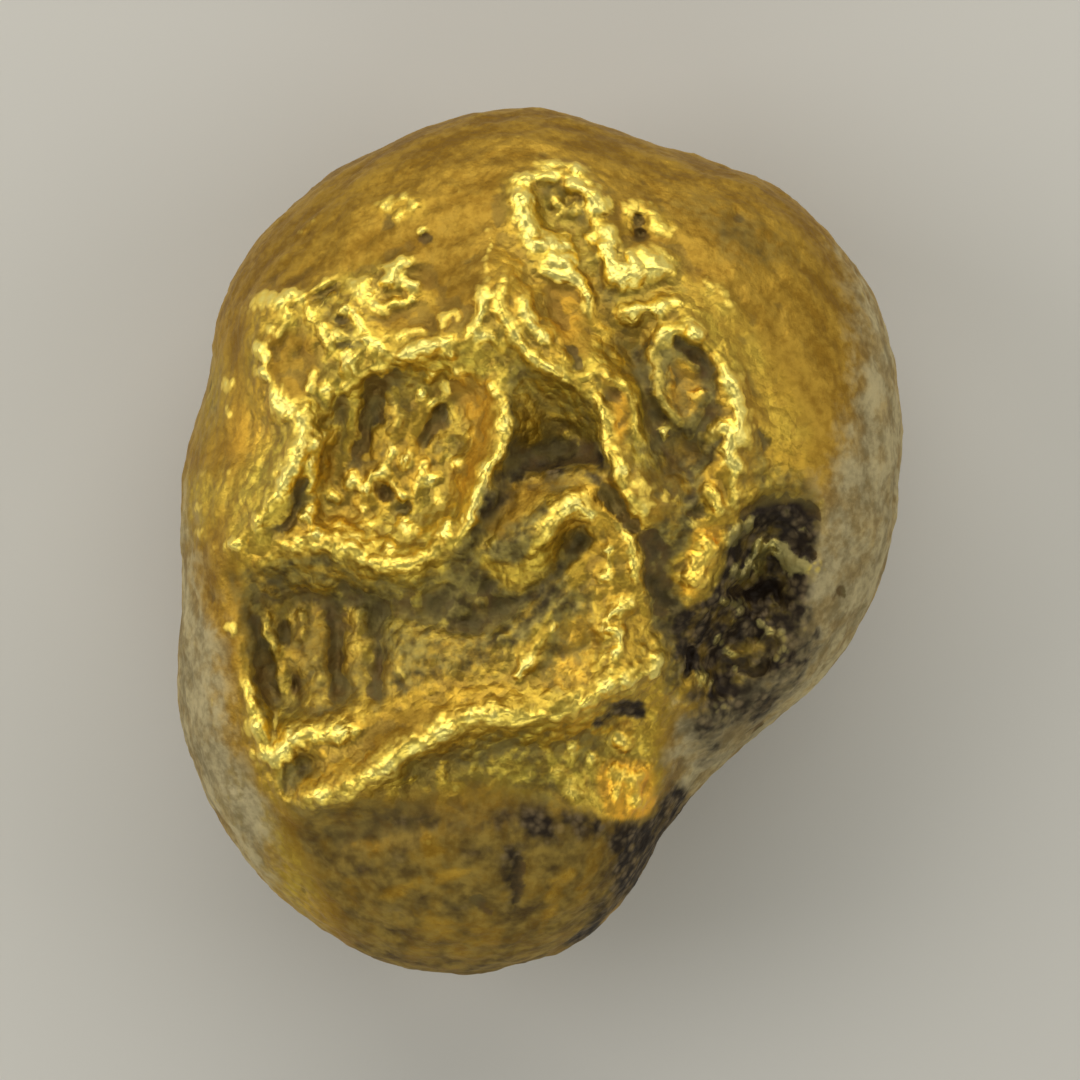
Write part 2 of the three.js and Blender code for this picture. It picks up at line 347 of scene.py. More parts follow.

# The nugget, the folds. Each is a crest, or below zero a furrow: its height, its half width, which may
# differ on the left and the right of its line, the line, and how strong the painted highlight on its
# worn-bright gold is, if not full.
FOLDS = [
    # the steep faces that look towards the narrow end: a furrow at the foot of each
    (-0.2, (0.4, 0.16), [(-0.65, 1.35), (-0.1, 1.38), (0.5, 1.4), (1.2, 1.48)]),
    (-0.25, (0.45, 0.7), [(-5.2, -0.8), (-4.3, -0.85), (-3.3, -0.85), (-2.5, -1.0), (-1.7, -1.1),
                          (-1.0, -1.3)]),
    (-0.18, (0.28, 0.6), [(-2.6, -4.4), (-1.5, -3.65), (-0.5, -3.45), (0.5, -3.35), (1.3, -3.0),
                          (1.8, -2.8)]),
    (-0.08, (0.16, 0.5), [(-3.4, 2.55), (-3.0, 2.55), (-2.4, 2.75), (-1.7, 2.85)]),
    # the wall left of the left pan, the furrow beside it, and the thin crest inside it
    (0.34, 0.25, [(-4.65, 2.8), (-4.52, 2.42), (-4.38, 2.25), (-4.18, 2.12), (-4.04, 1.95), (-4.0, 1.7),
                  (-4.12, 1.4), (-4.32, 1.05), (-4.5, 0.75), (-4.72, 0.45)], 1.3),
    (0.2, 0.15, [(-4.72, 0.32), (-4.95, 0.18)]),
    (0.2, 0.15, [(-5.15, 0.02), (-5.38, -0.14)]),
    (-0.1, 0.16, [(-3.92, 1.2), (-4.06, 0.75), (-4.24, 0.35), (-4.42, 0.05)]),
    (0.2, 0.09, [(-3.45, 1.88), (-3.68, 1.72), (-3.8, 1.4), (-3.86, 1.05), (-3.95, 0.75)], 1.5),
    (0.16, 0.1, [(-4.05, 0.35), (-3.95, 0.52), (-3.78, 0.52)], 1.3),
    # the pan's lip
    (0.2, (0.3, 0.17), [(-4.6, -0.35), (-4.2, -0.1), (-3.8, -0.02), (-3.4, -0.1), (-3.0, -0.3), (-2.6, -0.45),
                        (-2.2, -0.42), (-1.9, -0.25), (-1.75, 0.0), (-1.68, 0.25)], 0.65),
    (0.3, 0.15, [(-1.67, 0.0), (-1.64, 0.42)], 1.8),
    # the crest between the left pan and the well
    (0.22, (0.1, 0.25), [(-0.55, 2.5), (-0.56, 2.0), (-0.58, 1.6), (-0.72, 1.4), (-0.92, 1.22), (-0.97, 0.95),
                         (-1.05, 0.6), (-1.2, 0.25), (-1.32, -0.05)]),
    # the left pan's floor
    (-0.16, 0.2, [(-2.3, 2.95), (-2.75, 2.65), (-2.9, 2.2), (-3.0, 1.8), (-3.2, 1.3)]),
    (-0.1, 0.11, [(-3.4, 2.5), (-3.4, 1.95)]),
    (-0.14, 0.1, [(-1.62, 2.3), (-1.78, 1.95), (-2.02, 1.55)]),
    (0.06, 0.07, [(-3.12, 2.4), (-3.2, 1.9), (-3.27, 1.45)]),
    (0.09, 0.15, [(-2.5, 2.45), (-2.42, 2.1), (-2.5, 1.75)]),
    (0.12, 0.09, [(-2.04, 1.38), (-2.02, 1.05), (-2.1, 0.75), (-2.0, 0.45)]),
    (0.14, 0.1, [(-2.44, 1.3), (-2.2, 1.4)]),
    (-0.12, 0.11, [(-2.64, 0.95), (-2.6, 0.68)]),
    (-0.14, 0.1, [(-2.4, 0.6), (-2.2, 0.45)]),
    # the shelf over the left pan
    (0.18, 0.14, [(-5.0, 4.05), (-4.75, 4.15), (-4.5, 4.1), (-4.25, 4.2), (-4.05, 4.1), (-4.0, 3.9)]),
    (0.14, 0.11, [(-4.65, 3.95), (-4.4, 3.9), (-4.2, 3.78)]),
    (0.12, 0.08, [(-4.0, 4.22), (-3.8, 4.32), (-3.6, 4.42), (-3.45, 4.4)]),
    (-0.09, 0.1, [(-3.8, 4.08), (-3.6, 4.18), (-3.42, 4.2)]),
    (0.17, 0.14, [(-3.35, 4.3), (-3.15, 4.4), (-2.95, 4.35), (-2.8, 4.2), (-2.7, 4.05)]),
    (0.16, 0.12, [(-3.3, 4.1), (-3.1, 4.2), (-2.95, 4.1), (-2.7, 3.95), (-2.5, 3.95)]),
    (0.2, 0.11, [(-2.8, 4.7), (-2.55, 4.68), (-2.4, 4.74), (-2.15, 4.68)], 1.4),
    (0.2, 0.12, [(-2.52, 4.7), (-2.52, 4.5), (-2.65, 4.35)], 1.4),
    (0.2, 0.11, [(-2.65, 4.34), (-2.4, 4.46), (-2.25, 4.36), (-2.02, 4.34)], 1.4),
    (0.14, 0.09, [(-2.08, 4.14), (-2.3, 4.05), (-2.55, 4.05)], 1.2),
    (0.14, 0.1, [(-3.85, 3.95), (-3.9, 3.75), (-3.75, 3.7)]),
    (-0.1, 0.13, [(-3.45, 3.8), (-3.3, 3.65)]),
    (0.16, 0.1, [(-3.45, 3.98), (-3.22, 3.92), (-3.08, 3.75), (-3.0, 3.5)], 1.2),
    (0.14, 0.09, [(-3.7, 3.75), (-3.66, 3.5), (-3.6, 3.35), (-3.5, 3.15)]),
    (0.16, 0.1, [(-3.6, 3.5), (-3.4, 3.45), (-3.1, 3.42), (-2.9, 3.35), (-2.7, 3.22), (-2.58, 3.2)], 1.3),
    (-0.08, 0.1, [(-3.42, 3.33), (-3.25, 3.26), (-3.08, 3.24)]),
    (0.16, 0.2, [(-3.4, 3.08), (-3.05, 2.98)], 1.6),
    (0.1, 0.08, [(-3.2, 2.83), (-3.0, 2.8), (-2.75, 2.9)]),
    (0.12, 0.08, [(-2.52, 3.42), (-2.2, 3.52), (-1.95, 3.55)], 1.4),
    (0.1, 0.06, [(-2.4, 3.25), (-2.1, 3.35), (-1.9, 3.3)]),
    (0.26, 0.15, [(-2.55, 3.06), (-2.2, 3.14), (-1.9, 3.25), (-1.6, 3.3), (-1.38, 3.3)], 1.3),
    (0.12, 0.08, [(-1.9, 3.15), (-1.6, 3.12), (-1.42, 3.0)]),
    (0.14, 0.08, [(-1.66, 3.5), (-1.6, 3.78), (-1.44, 3.86), (-1.38, 3.65)], 1.3),
    (0.16, 0.11, [(-1.2, 3.3), (-1.15, 3.55), (-1.0, 3.75), (-0.98, 4.0), (-0.92, 4.4)]),
    (0.2, 0.16, [(-1.15, 3.38), (-0.9, 3.45), (-0.72, 3.45)], 1.4),
    (0.09, 0.06, [(-0.88, 4.5), (-0.92, 4.8), (-0.85, 5.0), (-0.9, 5.35)]),
    # the brow between the shelf and the top pocket
    (0.26, 0.13, [(-0.55, 4.42), (-0.68, 4.1), (-0.62, 3.75), (-0.45, 3.45), (-0.3, 3.2), (0.0, 2.88),
                  (0.3, 2.72), (0.62, 2.55)]),
    (0.2, 0.19, [(-0.35, 4.25), (-0.25, 3.85), (-0.05, 3.55), (0.12, 3.2)]),
    (-0.05, 0.12, [(0.1, 4.3), (0.3, 3.9), (0.45, 3.5)]),
    # the bridge's two edges, the pits along it and its lobed foot
    (0.25, (0.18, 0.1), [(0.6, 2.55), (0.85, 2.35), (1.02, 2.1), (1.05, 1.85), (1.15, 1.5), (1.3, 1.28),
                         (1.26, 1.02), (1.42, 0.75), (1.62, 0.48), (1.88, 0.22)], 0.55),
    (0.22, 0.12, [(0.85, 3.15), (1.0, 3.0), (1.15, 2.8), (1.4, 2.6), (1.55, 2.3), (1.66, 2.0), (1.62, 1.75),
                  (1.5, 1.55)], 0.4),
    (0.18, 0.12, [(1.5, 1.4), (1.62, 1.2), (1.85, 0.98), (2.15, 0.98), (2.34, 0.8), (2.22, 0.6),
                  (2.0, 0.45)], 0.4),
    (0.12, 0.12, [(1.5, 1.1), (1.75, 0.8), (1.9, 0.5)]),
    (-0.12, 0.12, [(0.45, 3.25), (0.58, 3.02), (0.66, 2.82)]),
    (0.1, 0.06, [(0.72, 2.72), (0.9, 2.82), (1.12, 2.75), (1.3, 2.6)]),
    (-0.09, 0.1, [(1.02, 2.42), (1.2, 2.4), (1.33, 2.42)]),
    (-0.07, 0.09, [(1.28, 1.98), (1.33, 1.85)]),
    (-0.2, 0.16, [(1.05, 0.95), (1.3, 0.5), (1.62, 0.05)]),
    # the arch
    (0.2, 0.3, [(-0.8, -0.3), (-0.45, -0.05), (-0.1, 0.2), (0.2, 0.5)], 0.1),
    (0.26, 0.19, [(0.0, -0.05), (0.16, 0.22), (0.36, 0.48), (0.58, 0.58), (0.82, 0.44)], 1.15),
    (0.18, 0.13, [(1.1, 0.45), (1.35, 0.28), (1.5, 0.02), (1.6, -0.3), (1.66, -0.7)], 0.8),
    (-0.08, 0.18, [(0.68, 0.2), (0.62, 0.0), (0.45, -0.2)]),
    (0.1, (0.15, 0.35), [(-0.45, -2.0), (0.0, -1.5), (0.3, -1.2), (0.7, -0.9)], 0.6),
    (0.1, 0.13, [(1.1, -0.05), (1.1, -0.4), (1.1, -0.8)]),
    (0.17, 0.1, [(1.05, -1.35), (1.2, -1.25), (1.45, -1.08), (1.66, -1.0)]),
    (0.12, 0.12, [(1.0, -1.5), (1.2, -1.5), (1.4, -1.6), (1.3, -1.8)]),
    (0.28, 0.13, [(1.96, -1.85), (1.93, -2.1), (1.88, -2.35)], 1.4),
    (0.24, 0.12, [(-0.38, -2.38), (-0.1, -2.02)], 1.3),
    (0.08, 0.08, [(-0.05, -1.9), (0.1, -1.65), (0.3, -1.5)]),
    (0.1, 0.1, [(-0.75, -1.58), (-0.5, -1.78)]),
    (-0.15, 0.13, [(-1.0, -0.65), (-0.8, -0.95), (-0.5, -1.2)]),
    (-0.12, 0.14, [(-1.4, -1.3), (-1.0, -1.5)]),
    # the lower pan's ribs and furrows
    (0.16, 0.11, [(-4.6, -1.15), (-4.72, -1.45), (-4.6, -1.75), (-4.45, -2.0)], 0.45),
    (0.12, 0.1, [(-4.2, -1.15), (-4.1, -1.5), (-4.15, -1.8)], 0.3),
    (0.18, 0.2, [(-3.95, -2.0), (-3.8, -2.4), (-3.75, -2.85)], 0.3),
    (0.18, 0.2, [(-3.2, -1.0), (-3.1, -1.5), (-3.1, -2.0), (-3.0, -2.6)], 0.15),
    (-0.2, 0.16, [(-4.95, -1.25), (-4.85, -1.8), (-4.7, -2.4), (-4.66, -2.95)]),
    (-0.14, 0.07, [(-4.45, -1.4), (-4.35, -1.75)]),
    (-0.14, 0.09, [(-4.22, -2.35), (-4.15, -2.65)]),
    (-0.16, 0.13, [(-3.7, -1.0), (-3.52, -1.4), (-3.5, -2.0), (-3.45, -2.8)]),
    (-0.1, 0.15, [(-2.75, -1.1), (-2.6, -1.35)]),
    (-0.2, 0.12, [(-2.65, -1.75), (-2.72, -2.2), (-2.85, -2.8)]),
    (0.12, 0.1, [(-5.0, -2.4), (-4.97, -2.75), (-4.94, -3.0)], 0.9),
    (0.36, 0.19, [(-4.93, -2.95), (-4.84, -3.35), (-4.72, -3.62), (-4.54, -3.7), (-4.36, -3.58),
                  (-4.24, -3.42)], 1.3),
    (0.24, 0.17, [(-4.1, -3.28), (-3.75, -3.22), (-3.4, -3.2), (-3.1, -3.1)]),
    # the long fold
    (0.22, (0.4, 0.2), [(-4.15, -4.52), (-3.7, -4.42), (-3.3, -4.28), (-2.9, -4.08)], 0.45),
    (0.27, (0.35, 0.16), [(-3.1, -4.18), (-2.8, -4.02), (-2.5, -3.82), (-2.2, -3.56), (-1.85, -3.3),
                          (-1.5, -3.1)], 0.95),
    (0.24, (0.4, 0.2), [(-1.75, -3.24), (-1.3, -3.02), (-0.9, -2.95), (-0.4, -3.03), (0.2, -3.02),
                        (0.7, -2.8),
                        (1.05, -2.62), (1.4, -2.5)], 0.8),
    # the right pan's furrows, the almond, and the crest to its right
    (-0.09, 0.2, [(1.45, 3.15), (1.7, 2.7), (1.8, 2.2), (1.9, 1.7), (2.2, 1.3), (2.5, 0.85)]),
    (-0.14, 0.13, [(2.2, 3.38), (2.5, 3.28), (2.75, 3.08), (2.97, 2.75)]),
    (-0.09, 0.2, [(2.9, 2.4), (2.8, 2.0), (2.6, 1.6), (2.35, 1.5)]),
    (0.28, 0.14, [(1.98, 3.45), (1.9, 3.15), (1.92, 2.8), (2.0, 2.5), (2.15, 2.25), (2.35, 2.02),
                  (2.5, 1.95)]),
    (0.08, 0.1, [(2.4, 3.1), (2.7, 2.9), (2.83, 2.6), (2.78, 2.3), (2.6, 2.05)]),
    (0.16, 0.1, [(2.55, 2.38), (2.76, 2.5)]),
    (-0.06, 0.1, [(2.25, 2.95), (2.35, 2.6)]),
    (0.16, 0.1, [(1.98, 1.75), (2.1, 1.82), (2.2, 1.78)], 1.9),
    (0.28, 0.2, [(3.02, 3.05), (3.12, 2.8), (3.3, 2.45), (3.36, 2.1), (3.4, 1.8), (3.4, 1.4)], 1.25),
    (0.18, 0.14, [(2.88, 1.5), (2.9, 1.72), (3.08, 1.88), (3.2, 1.68), (3.15, 1.4), (3.28, 1.15),
                  (3.1, 1.05)], 1.2),
    (0.18, 0.12, [(2.72, 0.92), (2.92, 0.72), (3.12, 0.42)], 0.7),
    (0.12, 0.12, [(3.35, 0.9), (3.22, 0.55)]),
    (-0.1, 0.1, [(3.65, 1.9), (3.85, 1.6)]),
    (0.08, 0.1, [(3.6, 1.15), (3.8, 1.35)]),
    # the fleck, and the furrow between it and the arch
    (0.4, 0.22, [(2.92, 0.08), (2.7, -0.35), (2.5, -0.85)], 1.9),
    (0.2, 0.13, [(3.1, -0.1), (3.35, 0.18), (3.65, 0.38)], 1.1),
    (-0.2, 0.22, [(1.85, 0.25), (2.0, -0.2), (2.05, -0.8), (2.1, -1.3)]),
    (-0.12, 0.12, [(2.5, 0.4), (2.75, 0.5)]),
    # inside the dark cavity
    (-0.22, (0.12, 0.2), [(3.25, 0.35), (3.9, 0.66), (4.5, 0.6), (4.8, 0.25)]),
    (0.3, 0.16, [(3.6, -0.55), (3.72, -0.28), (3.9, -0.03)], 1.9),
    (0.24, 0.14, [(3.92, -0.03), (4.12, -0.18), (4.3, -0.42), (4.65, -0.42)], 1.5),
    (0.18, 0.14, [(3.2, -0.5), (3.55, -0.6)]),
    (0.12, 0.08, [(4.35, 0.1), (4.55, 0.18)], 0.5),
    (-0.15, 0.12, [(4.55, -0.15), (4.7, -0.3)]),
    (-0.2, 0.12, [(3.15, -0.82), (3.6, -0.9), (4.05, -0.8), (4.15, -1.2)]),
    (0.2, 0.35, [(3.3, -1.3), (3.6, -1.6)], 0.2),
    (0.16, 0.13, [(3.05, -1.15), (3.3, -1.05), (3.5, -1.25)], 0.55),
    (0.16, 0.12, [(3.05, -1.5), (3.12, -1.8), (3.35, -2.05), (3.45, -2.35)], 0.6),
    (0.14, 0.12, [(3.7, -1.35), (3.85, -1.6), (3.7, -1.85)], 0.5),
    (0.14, 0.13, [(4.05, -1.5), (4.1, -1.85), (4.0, -2.15)], 0.35),
    (-0.25, 0.09, [(2.56, -1.8), (2.48, -2.35)]),
    (-0.15, 0.12, [(3.3, -2.1), (3.7, -2.3), (4.0, -2.0)]),
    (0.15, 0.2, [(2.7, -2.4), (2.95, -2.3)], 0.7),
    (0.12, 0.12, [(2.9, -2.9), (3.3, -2.75)], 0.4),
    # the rims of the top pocket and the ridges in it
    (0.3, 0.18, [(-0.4, 6.15), (-0.35, 5.8), (-0.28, 5.5), (-0.15, 5.15), (0.03, 4.82)], 1.5),
    (0.24, 0.12, [(0.0, 4.85), (0.12, 4.62), (0.3, 4.5), (0.58, 4.46), (0.72, 4.28), (0.8, 4.0),
                  (0.87, 3.75)], 1.5),
    (0.3, 0.19, [(0.4, 6.22), (0.72, 6.02), (0.9, 5.8), (0.95, 5.5)], 1.5),
    (0.12, 0.08, [(1.12, 5.9), (1.17, 5.75), (1.16, 5.5)], 1.3),
    (0.16, 0.12, [(-0.5, 6.15), (-0.2, 6.2), (0.1, 6.24), (0.4, 6.2)], 1.1),
    (0.12, 0.13, [(-0.2, 6.36), (0.05, 6.45), (0.35, 6.45), (0.65, 6.38), (0.9, 6.24)], 1.2),
    (0.14, 0.09, [(0.15, 5.9), (0.3, 5.75), (0.36, 5.58), (0.22, 5.5)], 1.1),
    (0.14, 0.09, [(0.55, 5.85), (0.62, 5.65), (0.5, 5.52)], 1.1),
    (0.28, 0.15, [(-0.02, 5.12), (0.3, 5.06), (0.58, 5.12)], 2.2),
    (0.28, 0.14, [(0.12, 4.82), (0.4, 4.76), (0.68, 4.74)], 2.2),
    (0.3, 0.18, [(1.02, 5.45), (1.14, 5.2), (1.12, 4.92), (1.22, 4.58), (1.32, 4.28)], 1.5),
    (0.14, 0.22, [(1.45, 4.76), (1.7, 4.7), (1.95, 4.68)], 2.0),
    (0.12, 0.13, [(1.55, 4.88), (1.85, 4.92), (2.08, 4.82), (2.15, 4.65)], 1.4),
    (0.14, 0.15, [(1.45, 4.58), (1.8, 4.53), (2.1, 4.58)], 2.0),
    (0.16, 0.15, [(1.22, 4.3), (1.4, 4.48), (1.5, 4.7)], 2.0),
    (0.2, 0.13, [(1.5, 4.42), (1.75, 4.48)], 1.3),
    (0.16, 0.12, [(0.8, 5.25), (0.95, 5.0), (1.0, 4.75)]),
    (0.16, 0.14, [(1.42, 4.98), (1.55, 4.85), (1.65, 4.7), (1.55, 4.5), (1.35, 4.28)], 1.8),
    (0.14, 0.14, [(1.72, 4.9), (2.02, 4.84), (2.12, 4.68), (1.9, 4.55)], 1.9),
    (0.16, 0.1, [(1.4, 3.88), (1.75, 3.98), (2.1, 4.05), (2.5, 4.0)], 1.2),
    (0.08, 0.09, [(2.75, 4.5), (3.1, 4.1), (3.4, 3.8)]),
    (0.08, 0.16, [(1.4, 5.5), (1.55, 5.68), (1.85, 5.68), (2.1, 5.55)], 1.7),
    (0.08, 0.16, [(1.85, 5.35), (2.1, 5.3), (2.35, 5.2)], 1.7),
    # fine lines on the broad end
    (0.05, 0.06, [(-1.75, 6.15), (-1.45, 6.1), (-1.3, 5.9)]),
    (0.05, 0.07, [(-4.3, 5.35), (-4.1, 5.5), (-3.9, 5.6)]),
    (-0.04, 0.06, [(-4.9, 4.85), (-4.3, 5.05), (-3.5, 5.0)]),
    (0.05, 0.1, [(-5.9, 1.1), (-5.5, 1.15), (-5.2, 1.25)]),
    (0.05, 0.1, [(-5.7, 0.7), (-5.4, 0.85), (-5.2, 1.0)]),
    # furrows on the narrow end
    (-0.1, 0.16, [(-0.3, -5.3), (-0.4, -5.8), (-0.45, -6.3)]),
    (-0.08, 0.14, [(-1.1, -6.0), (-0.95, -6.3), (-0.75, -6.45)]),
    (-0.08, 0.15, [(1.15, -5.9), (0.8, -6.4), (0.5, -6.75)]),
    (-0.06, 0.13, [(-2.3, -6.2), (-2.4, -6.6), (-2.3, -7.0)]),
    (0.12, 0.14, [(0.25, -3.8), (0.5, -4.1), (0.7, -4.45)]),
    (0.08, 0.25, [(-1.8, -3.75), (-1.55, -4.1), (-1.4, -4.3)]),
    (-0.12, 0.06, [(3.55, -3.35), (3.75, -3.25), (3.9, -3.15)]),
]
raised = np.zeros(len(spots))
for height, width, line, *shine in FOLDS:
    crease(raised, height, width, line, *shine)

# The nugget, the beads and pits: small lumps and holes with their height and radius.
BEADS = [
    # beside the left wall and over the left pan
    (0.18, 0.13, (-4.83, 3.35)), (0.12, 0.09, (-4.7, 3.15)), (0.14, 0.1, (-4.78, 2.9)),
    (0.12, 0.09, (-4.68, 2.76)),
    (0.08, 0.08, (-4.6, 3.6)), (0.08, 0.08, (-4.42, 3.55)), (0.1, 0.1, (-3.85, 2.82)),
    (0.12, 0.09, (-3.88, 2.6)),
    (0.12, 0.1, (-3.62, 2.56)), (0.09, 0.08, (-3.35, 2.6)), (0.1, 0.09, (-2.68, 2.85)),
    (0.12, 0.1, (-1.4, 2.77)),
    (0.12, 0.08, (-0.85, 2.62)), (0.12, 0.08, (-0.78, 2.48)), (0.1, 0.08, (-1.48, 3.05)),
    (0.1, 0.1, (-1.85, 2.75)),
    (0.12, 0.1, (-2.0, 2.45)), (0.12, 0.12, (-1.6, 2.52)), (0.1, 0.09, (-1.76, 2.3)),
    (0.12, 0.12, (-1.85, 3.28)),
    # on the left pan's floor
    (0.16, 0.13, (-2.72, 1.2)), (0.14, 0.12, (-3.2, 1.02)), (0.14, 0.14, (-2.97, 0.9)),
    (0.16, 0.13, (-2.3, 1.34)), (0.1, 0.08, (-2.42, 0.8)), (0.1, 0.08, (-2.9, 1.12)),
    (0.14, 0.12, (-1.85, 0.98)), (0.1, 0.09, (-1.72, 0.7)), (0.1, 0.14, (-1.48, 1.35)),
    (0.12, 0.1, (-2.55, 1.5)),
    (0.08, 0.08, (-2.35, 0.75)), (0.1, 0.09, (-3.9, 0.4)), (0.14, 0.13, (-3.75, 0.14)),
    (0.1, 0.09, (-3.4, 0.28)),
    (0.14, 0.13, (-3.2, 0.05)), (0.1, 0.1, (-2.85, 0.08)), (0.12, 0.1, (-2.55, -0.1)),
    (0.14, 0.15, (-2.35, 0.2)),
    (0.1, 0.09, (-3.0, 0.55)), (0.08, 0.08, (-3.5, 0.75)), (0.1, 0.1, (-2.05, 0.12)),
    (0.08, 0.08, (-2.85, 0.3)),
    # round the top pocket
    (0.1, 0.08, (-2.02, 5.32)), (-0.12, 0.07, (-1.98, 5.18)), (-0.24, 0.07, (1.7, 5.46)),
    (-0.24, 0.07, (1.7, 5.21)),
    (0.14, 0.1, (1.4, 4.3)), (0.12, 0.1, (1.62, 4.7)), (0.12, 0.1, (1.95, 4.7)), (0.3, 0.19, (1.57, 3.88)),
    (0.28, 0.16, (2.0, 3.92)), (0.14, 0.2, (1.78, 4.72)), (0.14, 0.16, (2.02, 4.64)),
    (0.14, 0.15, (1.58, 4.42)), (0.14, 0.13, (-0.25, 5.85)), (0.12, 0.12, (0.62, 6.42)),
    (0.12, 0.12, (1.05, 4.92)),
    # the right pan
    (0.3, 0.19, (2.6, 3.48)), (0.2, 0.16, (2.1, 3.42)), (0.16, 0.13, (3.28, 2.65)),
    (-0.14, 0.08, (3.28, 1.65)),
    (0.16, 0.1, (1.36, 1.2)), (0.1, 0.1, (1.75, 0.55)), (0.1, 0.1, (2.1, 0.75)), (0.08, 0.09, (2.55, 0.25)),
    # the arch and below it
    (0.18, 0.15, (0.5, 0.6)), (0.14, 0.09, (0.82, 0.42)), (0.14, 0.1, (1.1, -0.2)), (0.14, 0.1, (1.1, -0.66)),
    (0.12, 0.1, (1.1, -1.5)), (0.14, 0.13, (1.32, -1.58)), (0.18, 0.13, (1.28, -1.86)),
    (0.15, 0.13, (1.12, -2.45)),
    (0.14, 0.1, (1.45, -2.4)), (0.1, 0.1, (1.6, -2.45)), (0.24, 0.14, (-0.13, -2.02)),
    (0.1, 0.1, (0.28, -1.5)),
    # the lower pan and the long fold
    (0.5, 0.19, (-4.2, -3.32)), (0.16, 0.15, (-3.4, -3.22)), (0.18, 0.13, (-3.7, -4.35)),
    (0.12, 0.12, (-2.6, -3.92)),
    (0.16, 0.17, (-1.65, -3.2)), (0.1, 0.1, (-5.3, -1.55)), (0.08, 0.1, (-2.35, -2.25)),
    # below the long fold
    (0.12, 0.1, (0.85, -3.7)), (0.12, 0.1, (1.25, -3.9)), (0.16, 0.16, (1.4, -3.4)),
    (0.16, 0.15, (1.35, -4.3)),
    (0.17, 0.15, (1.62, -4.05)), (0.16, 0.15, (1.68, -4.42)), (0.14, 0.14, (1.4, -4.05)),
    (0.12, 0.1, (0.55, -3.5)),
    (-0.1, 0.06, (5.2, -0.9)), (-0.08, 0.045, (5.1, -0.98)), (-0.07, 0.04, (5.28, -0.98)),
    # on the left shoulder and the broad end
    (0.08, 0.12, (-5.4, 2.68)), (0.07, 0.1, (-5.4, 2.2)), (0.06, 0.08, (-5.95, 0.55)),
    (0.06, 0.1, (-5.9, 0.1)),
    (0.08, 0.14, (-2.65, 5.8)), (0.06, 0.1, (-2.35, 5.9)), (0.06, 0.1, (-2.2, 5.68)),
    (0.06, 0.1, (-2.5, 5.55)),
]
for height, width, spot in BEADS:
    crease(raised, height, width, [spot])
# No crest stands taller than the tumbling would leave it.
TALLEST = 0.38
raised = np.where(raised > 0, TALLEST * np.tanh(raised / TALLEST), raised)
press("folds", raised * upper)
rub_down(2)

# The nugget, the worn skin. Sand and pebbles have left the shell finely hammered and pitted; the gold in
# the folds is lumpier and brighter, and the deep places are darkened by black sand, clay and painted shade.
# Each mark is made of loops on the same plan, with a strength and the width of its soft edge.
skin = places()


def grain(size, kind=noise.noise):
    """A smooth noise, from -1 to 1, with lumps of that size in millimetres."""
    return np.array([kind(Vector(p / size)) for p in skin])


def cells(size):
    """Rounded lumps of that size in millimetres: 1 at each lump's middle and 0 in the seams."""
    return np.array([1 - min(noise.voronoi(Vector(p / size))[0][0], 1) for p in skin])


INNER = [(-5.2, 3.9), (-4.0, 4.5), (-2.4, 5.0), (-1.8, 4.4), (-1.2, 4.3), (-0.9, 5.3), (-0.7, 6.3),
         (0.2, 6.8), (1.2, 6.5), (1.5, 5.3), (2.4, 5.0),
         (3.0, 4.0), (3.6, 3.2), (3.7, 1.2), (4.2, 0.9), (5.0, 0.5), (4.7, -1.4), (3.4, -3.2), (2.4, -3.2),
         (2.2, -4.6),
         (1.2, -4.9), (-1.0, -4.4), (-2.6, -4.6), (-4.4, -4.8), (-5.2, -3.8), (-5.3, -1.0), (-5.6, 0.2),
         (-5.2, 2.0)]
inner = within(INNER, 0.5) * upper

GRANULAR = [
    (0.5, 0.3, [(-3.8, 0.3), (-3.5, 1.2), (-2.6, 1.6), (-1.6, 1.6), (-1.1, 1.0), (-1.4, 0.0), (-2.6, -0.3),
                (-3.6, 0.0)]),
    (0.8, 0.3, [(-4.9, 3.8), (-4.2, 4.4), (-2.8, 4.9), (-1.9, 4.8), (-1.9, 4.2), (-2.5, 3.8), (-3.3, 3.6),
                (-4.2, 3.7)]),
    (0.5, 0.3, [(-0.6, 6.2), (0.2, 6.65), (1.0, 6.3), (1.35, 5.3), (2.3, 5.0), (2.3, 4.3), (1.1, 4.1),
                (1.0, 5.4), (0.5, 6.2),
                (0.0, 6.1), (-0.1, 5.3), (0.9, 4.7), (0.8, 4.3), (0.0, 4.4), (-0.6, 5.4)]),
    (1.0, 0.2, [(1.3, 5.05), (2.2, 5.05), (2.35, 4.55), (1.4, 4.15)]),
    (0.6, 0.2, [(1.3, 5.3), (1.4, 5.8), (2.1, 5.8), (2.45, 5.2), (1.8, 5.05)]),
    (0.2, 0.3, [(-5.0, 3.9), (-5.1, 2.9), (-4.4, 2.0), (-3.4, 2.4), (-3.0, 3.1)]),
    (0.8, 0.3, [(-5.1, -3.0), (-4.6, -3.9), (-3.8, -3.5), (-3.0, -3.4), (-3.0, -2.9), (-4.2, -3.0)]),
    (0.6, 0.3, [(1.0, -1.0), (1.7, -1.0), (2.1, -1.9), (1.9, -2.6), (0.9, -2.6), (0.9, -1.8)]),
    (1.0, 0.3, [(1.0, -3.9), (1.2, -3.1), (1.7, -3.1), (2.0, -4.0), (1.8, -4.7), (1.1, -4.7)]),
    (0.6, 0.3, [(2.9, 3.4), (3.5, 3.0), (3.7, 1.6), (3.3, 0.6), (2.8, 0.7), (3.1, 1.9)]),
]
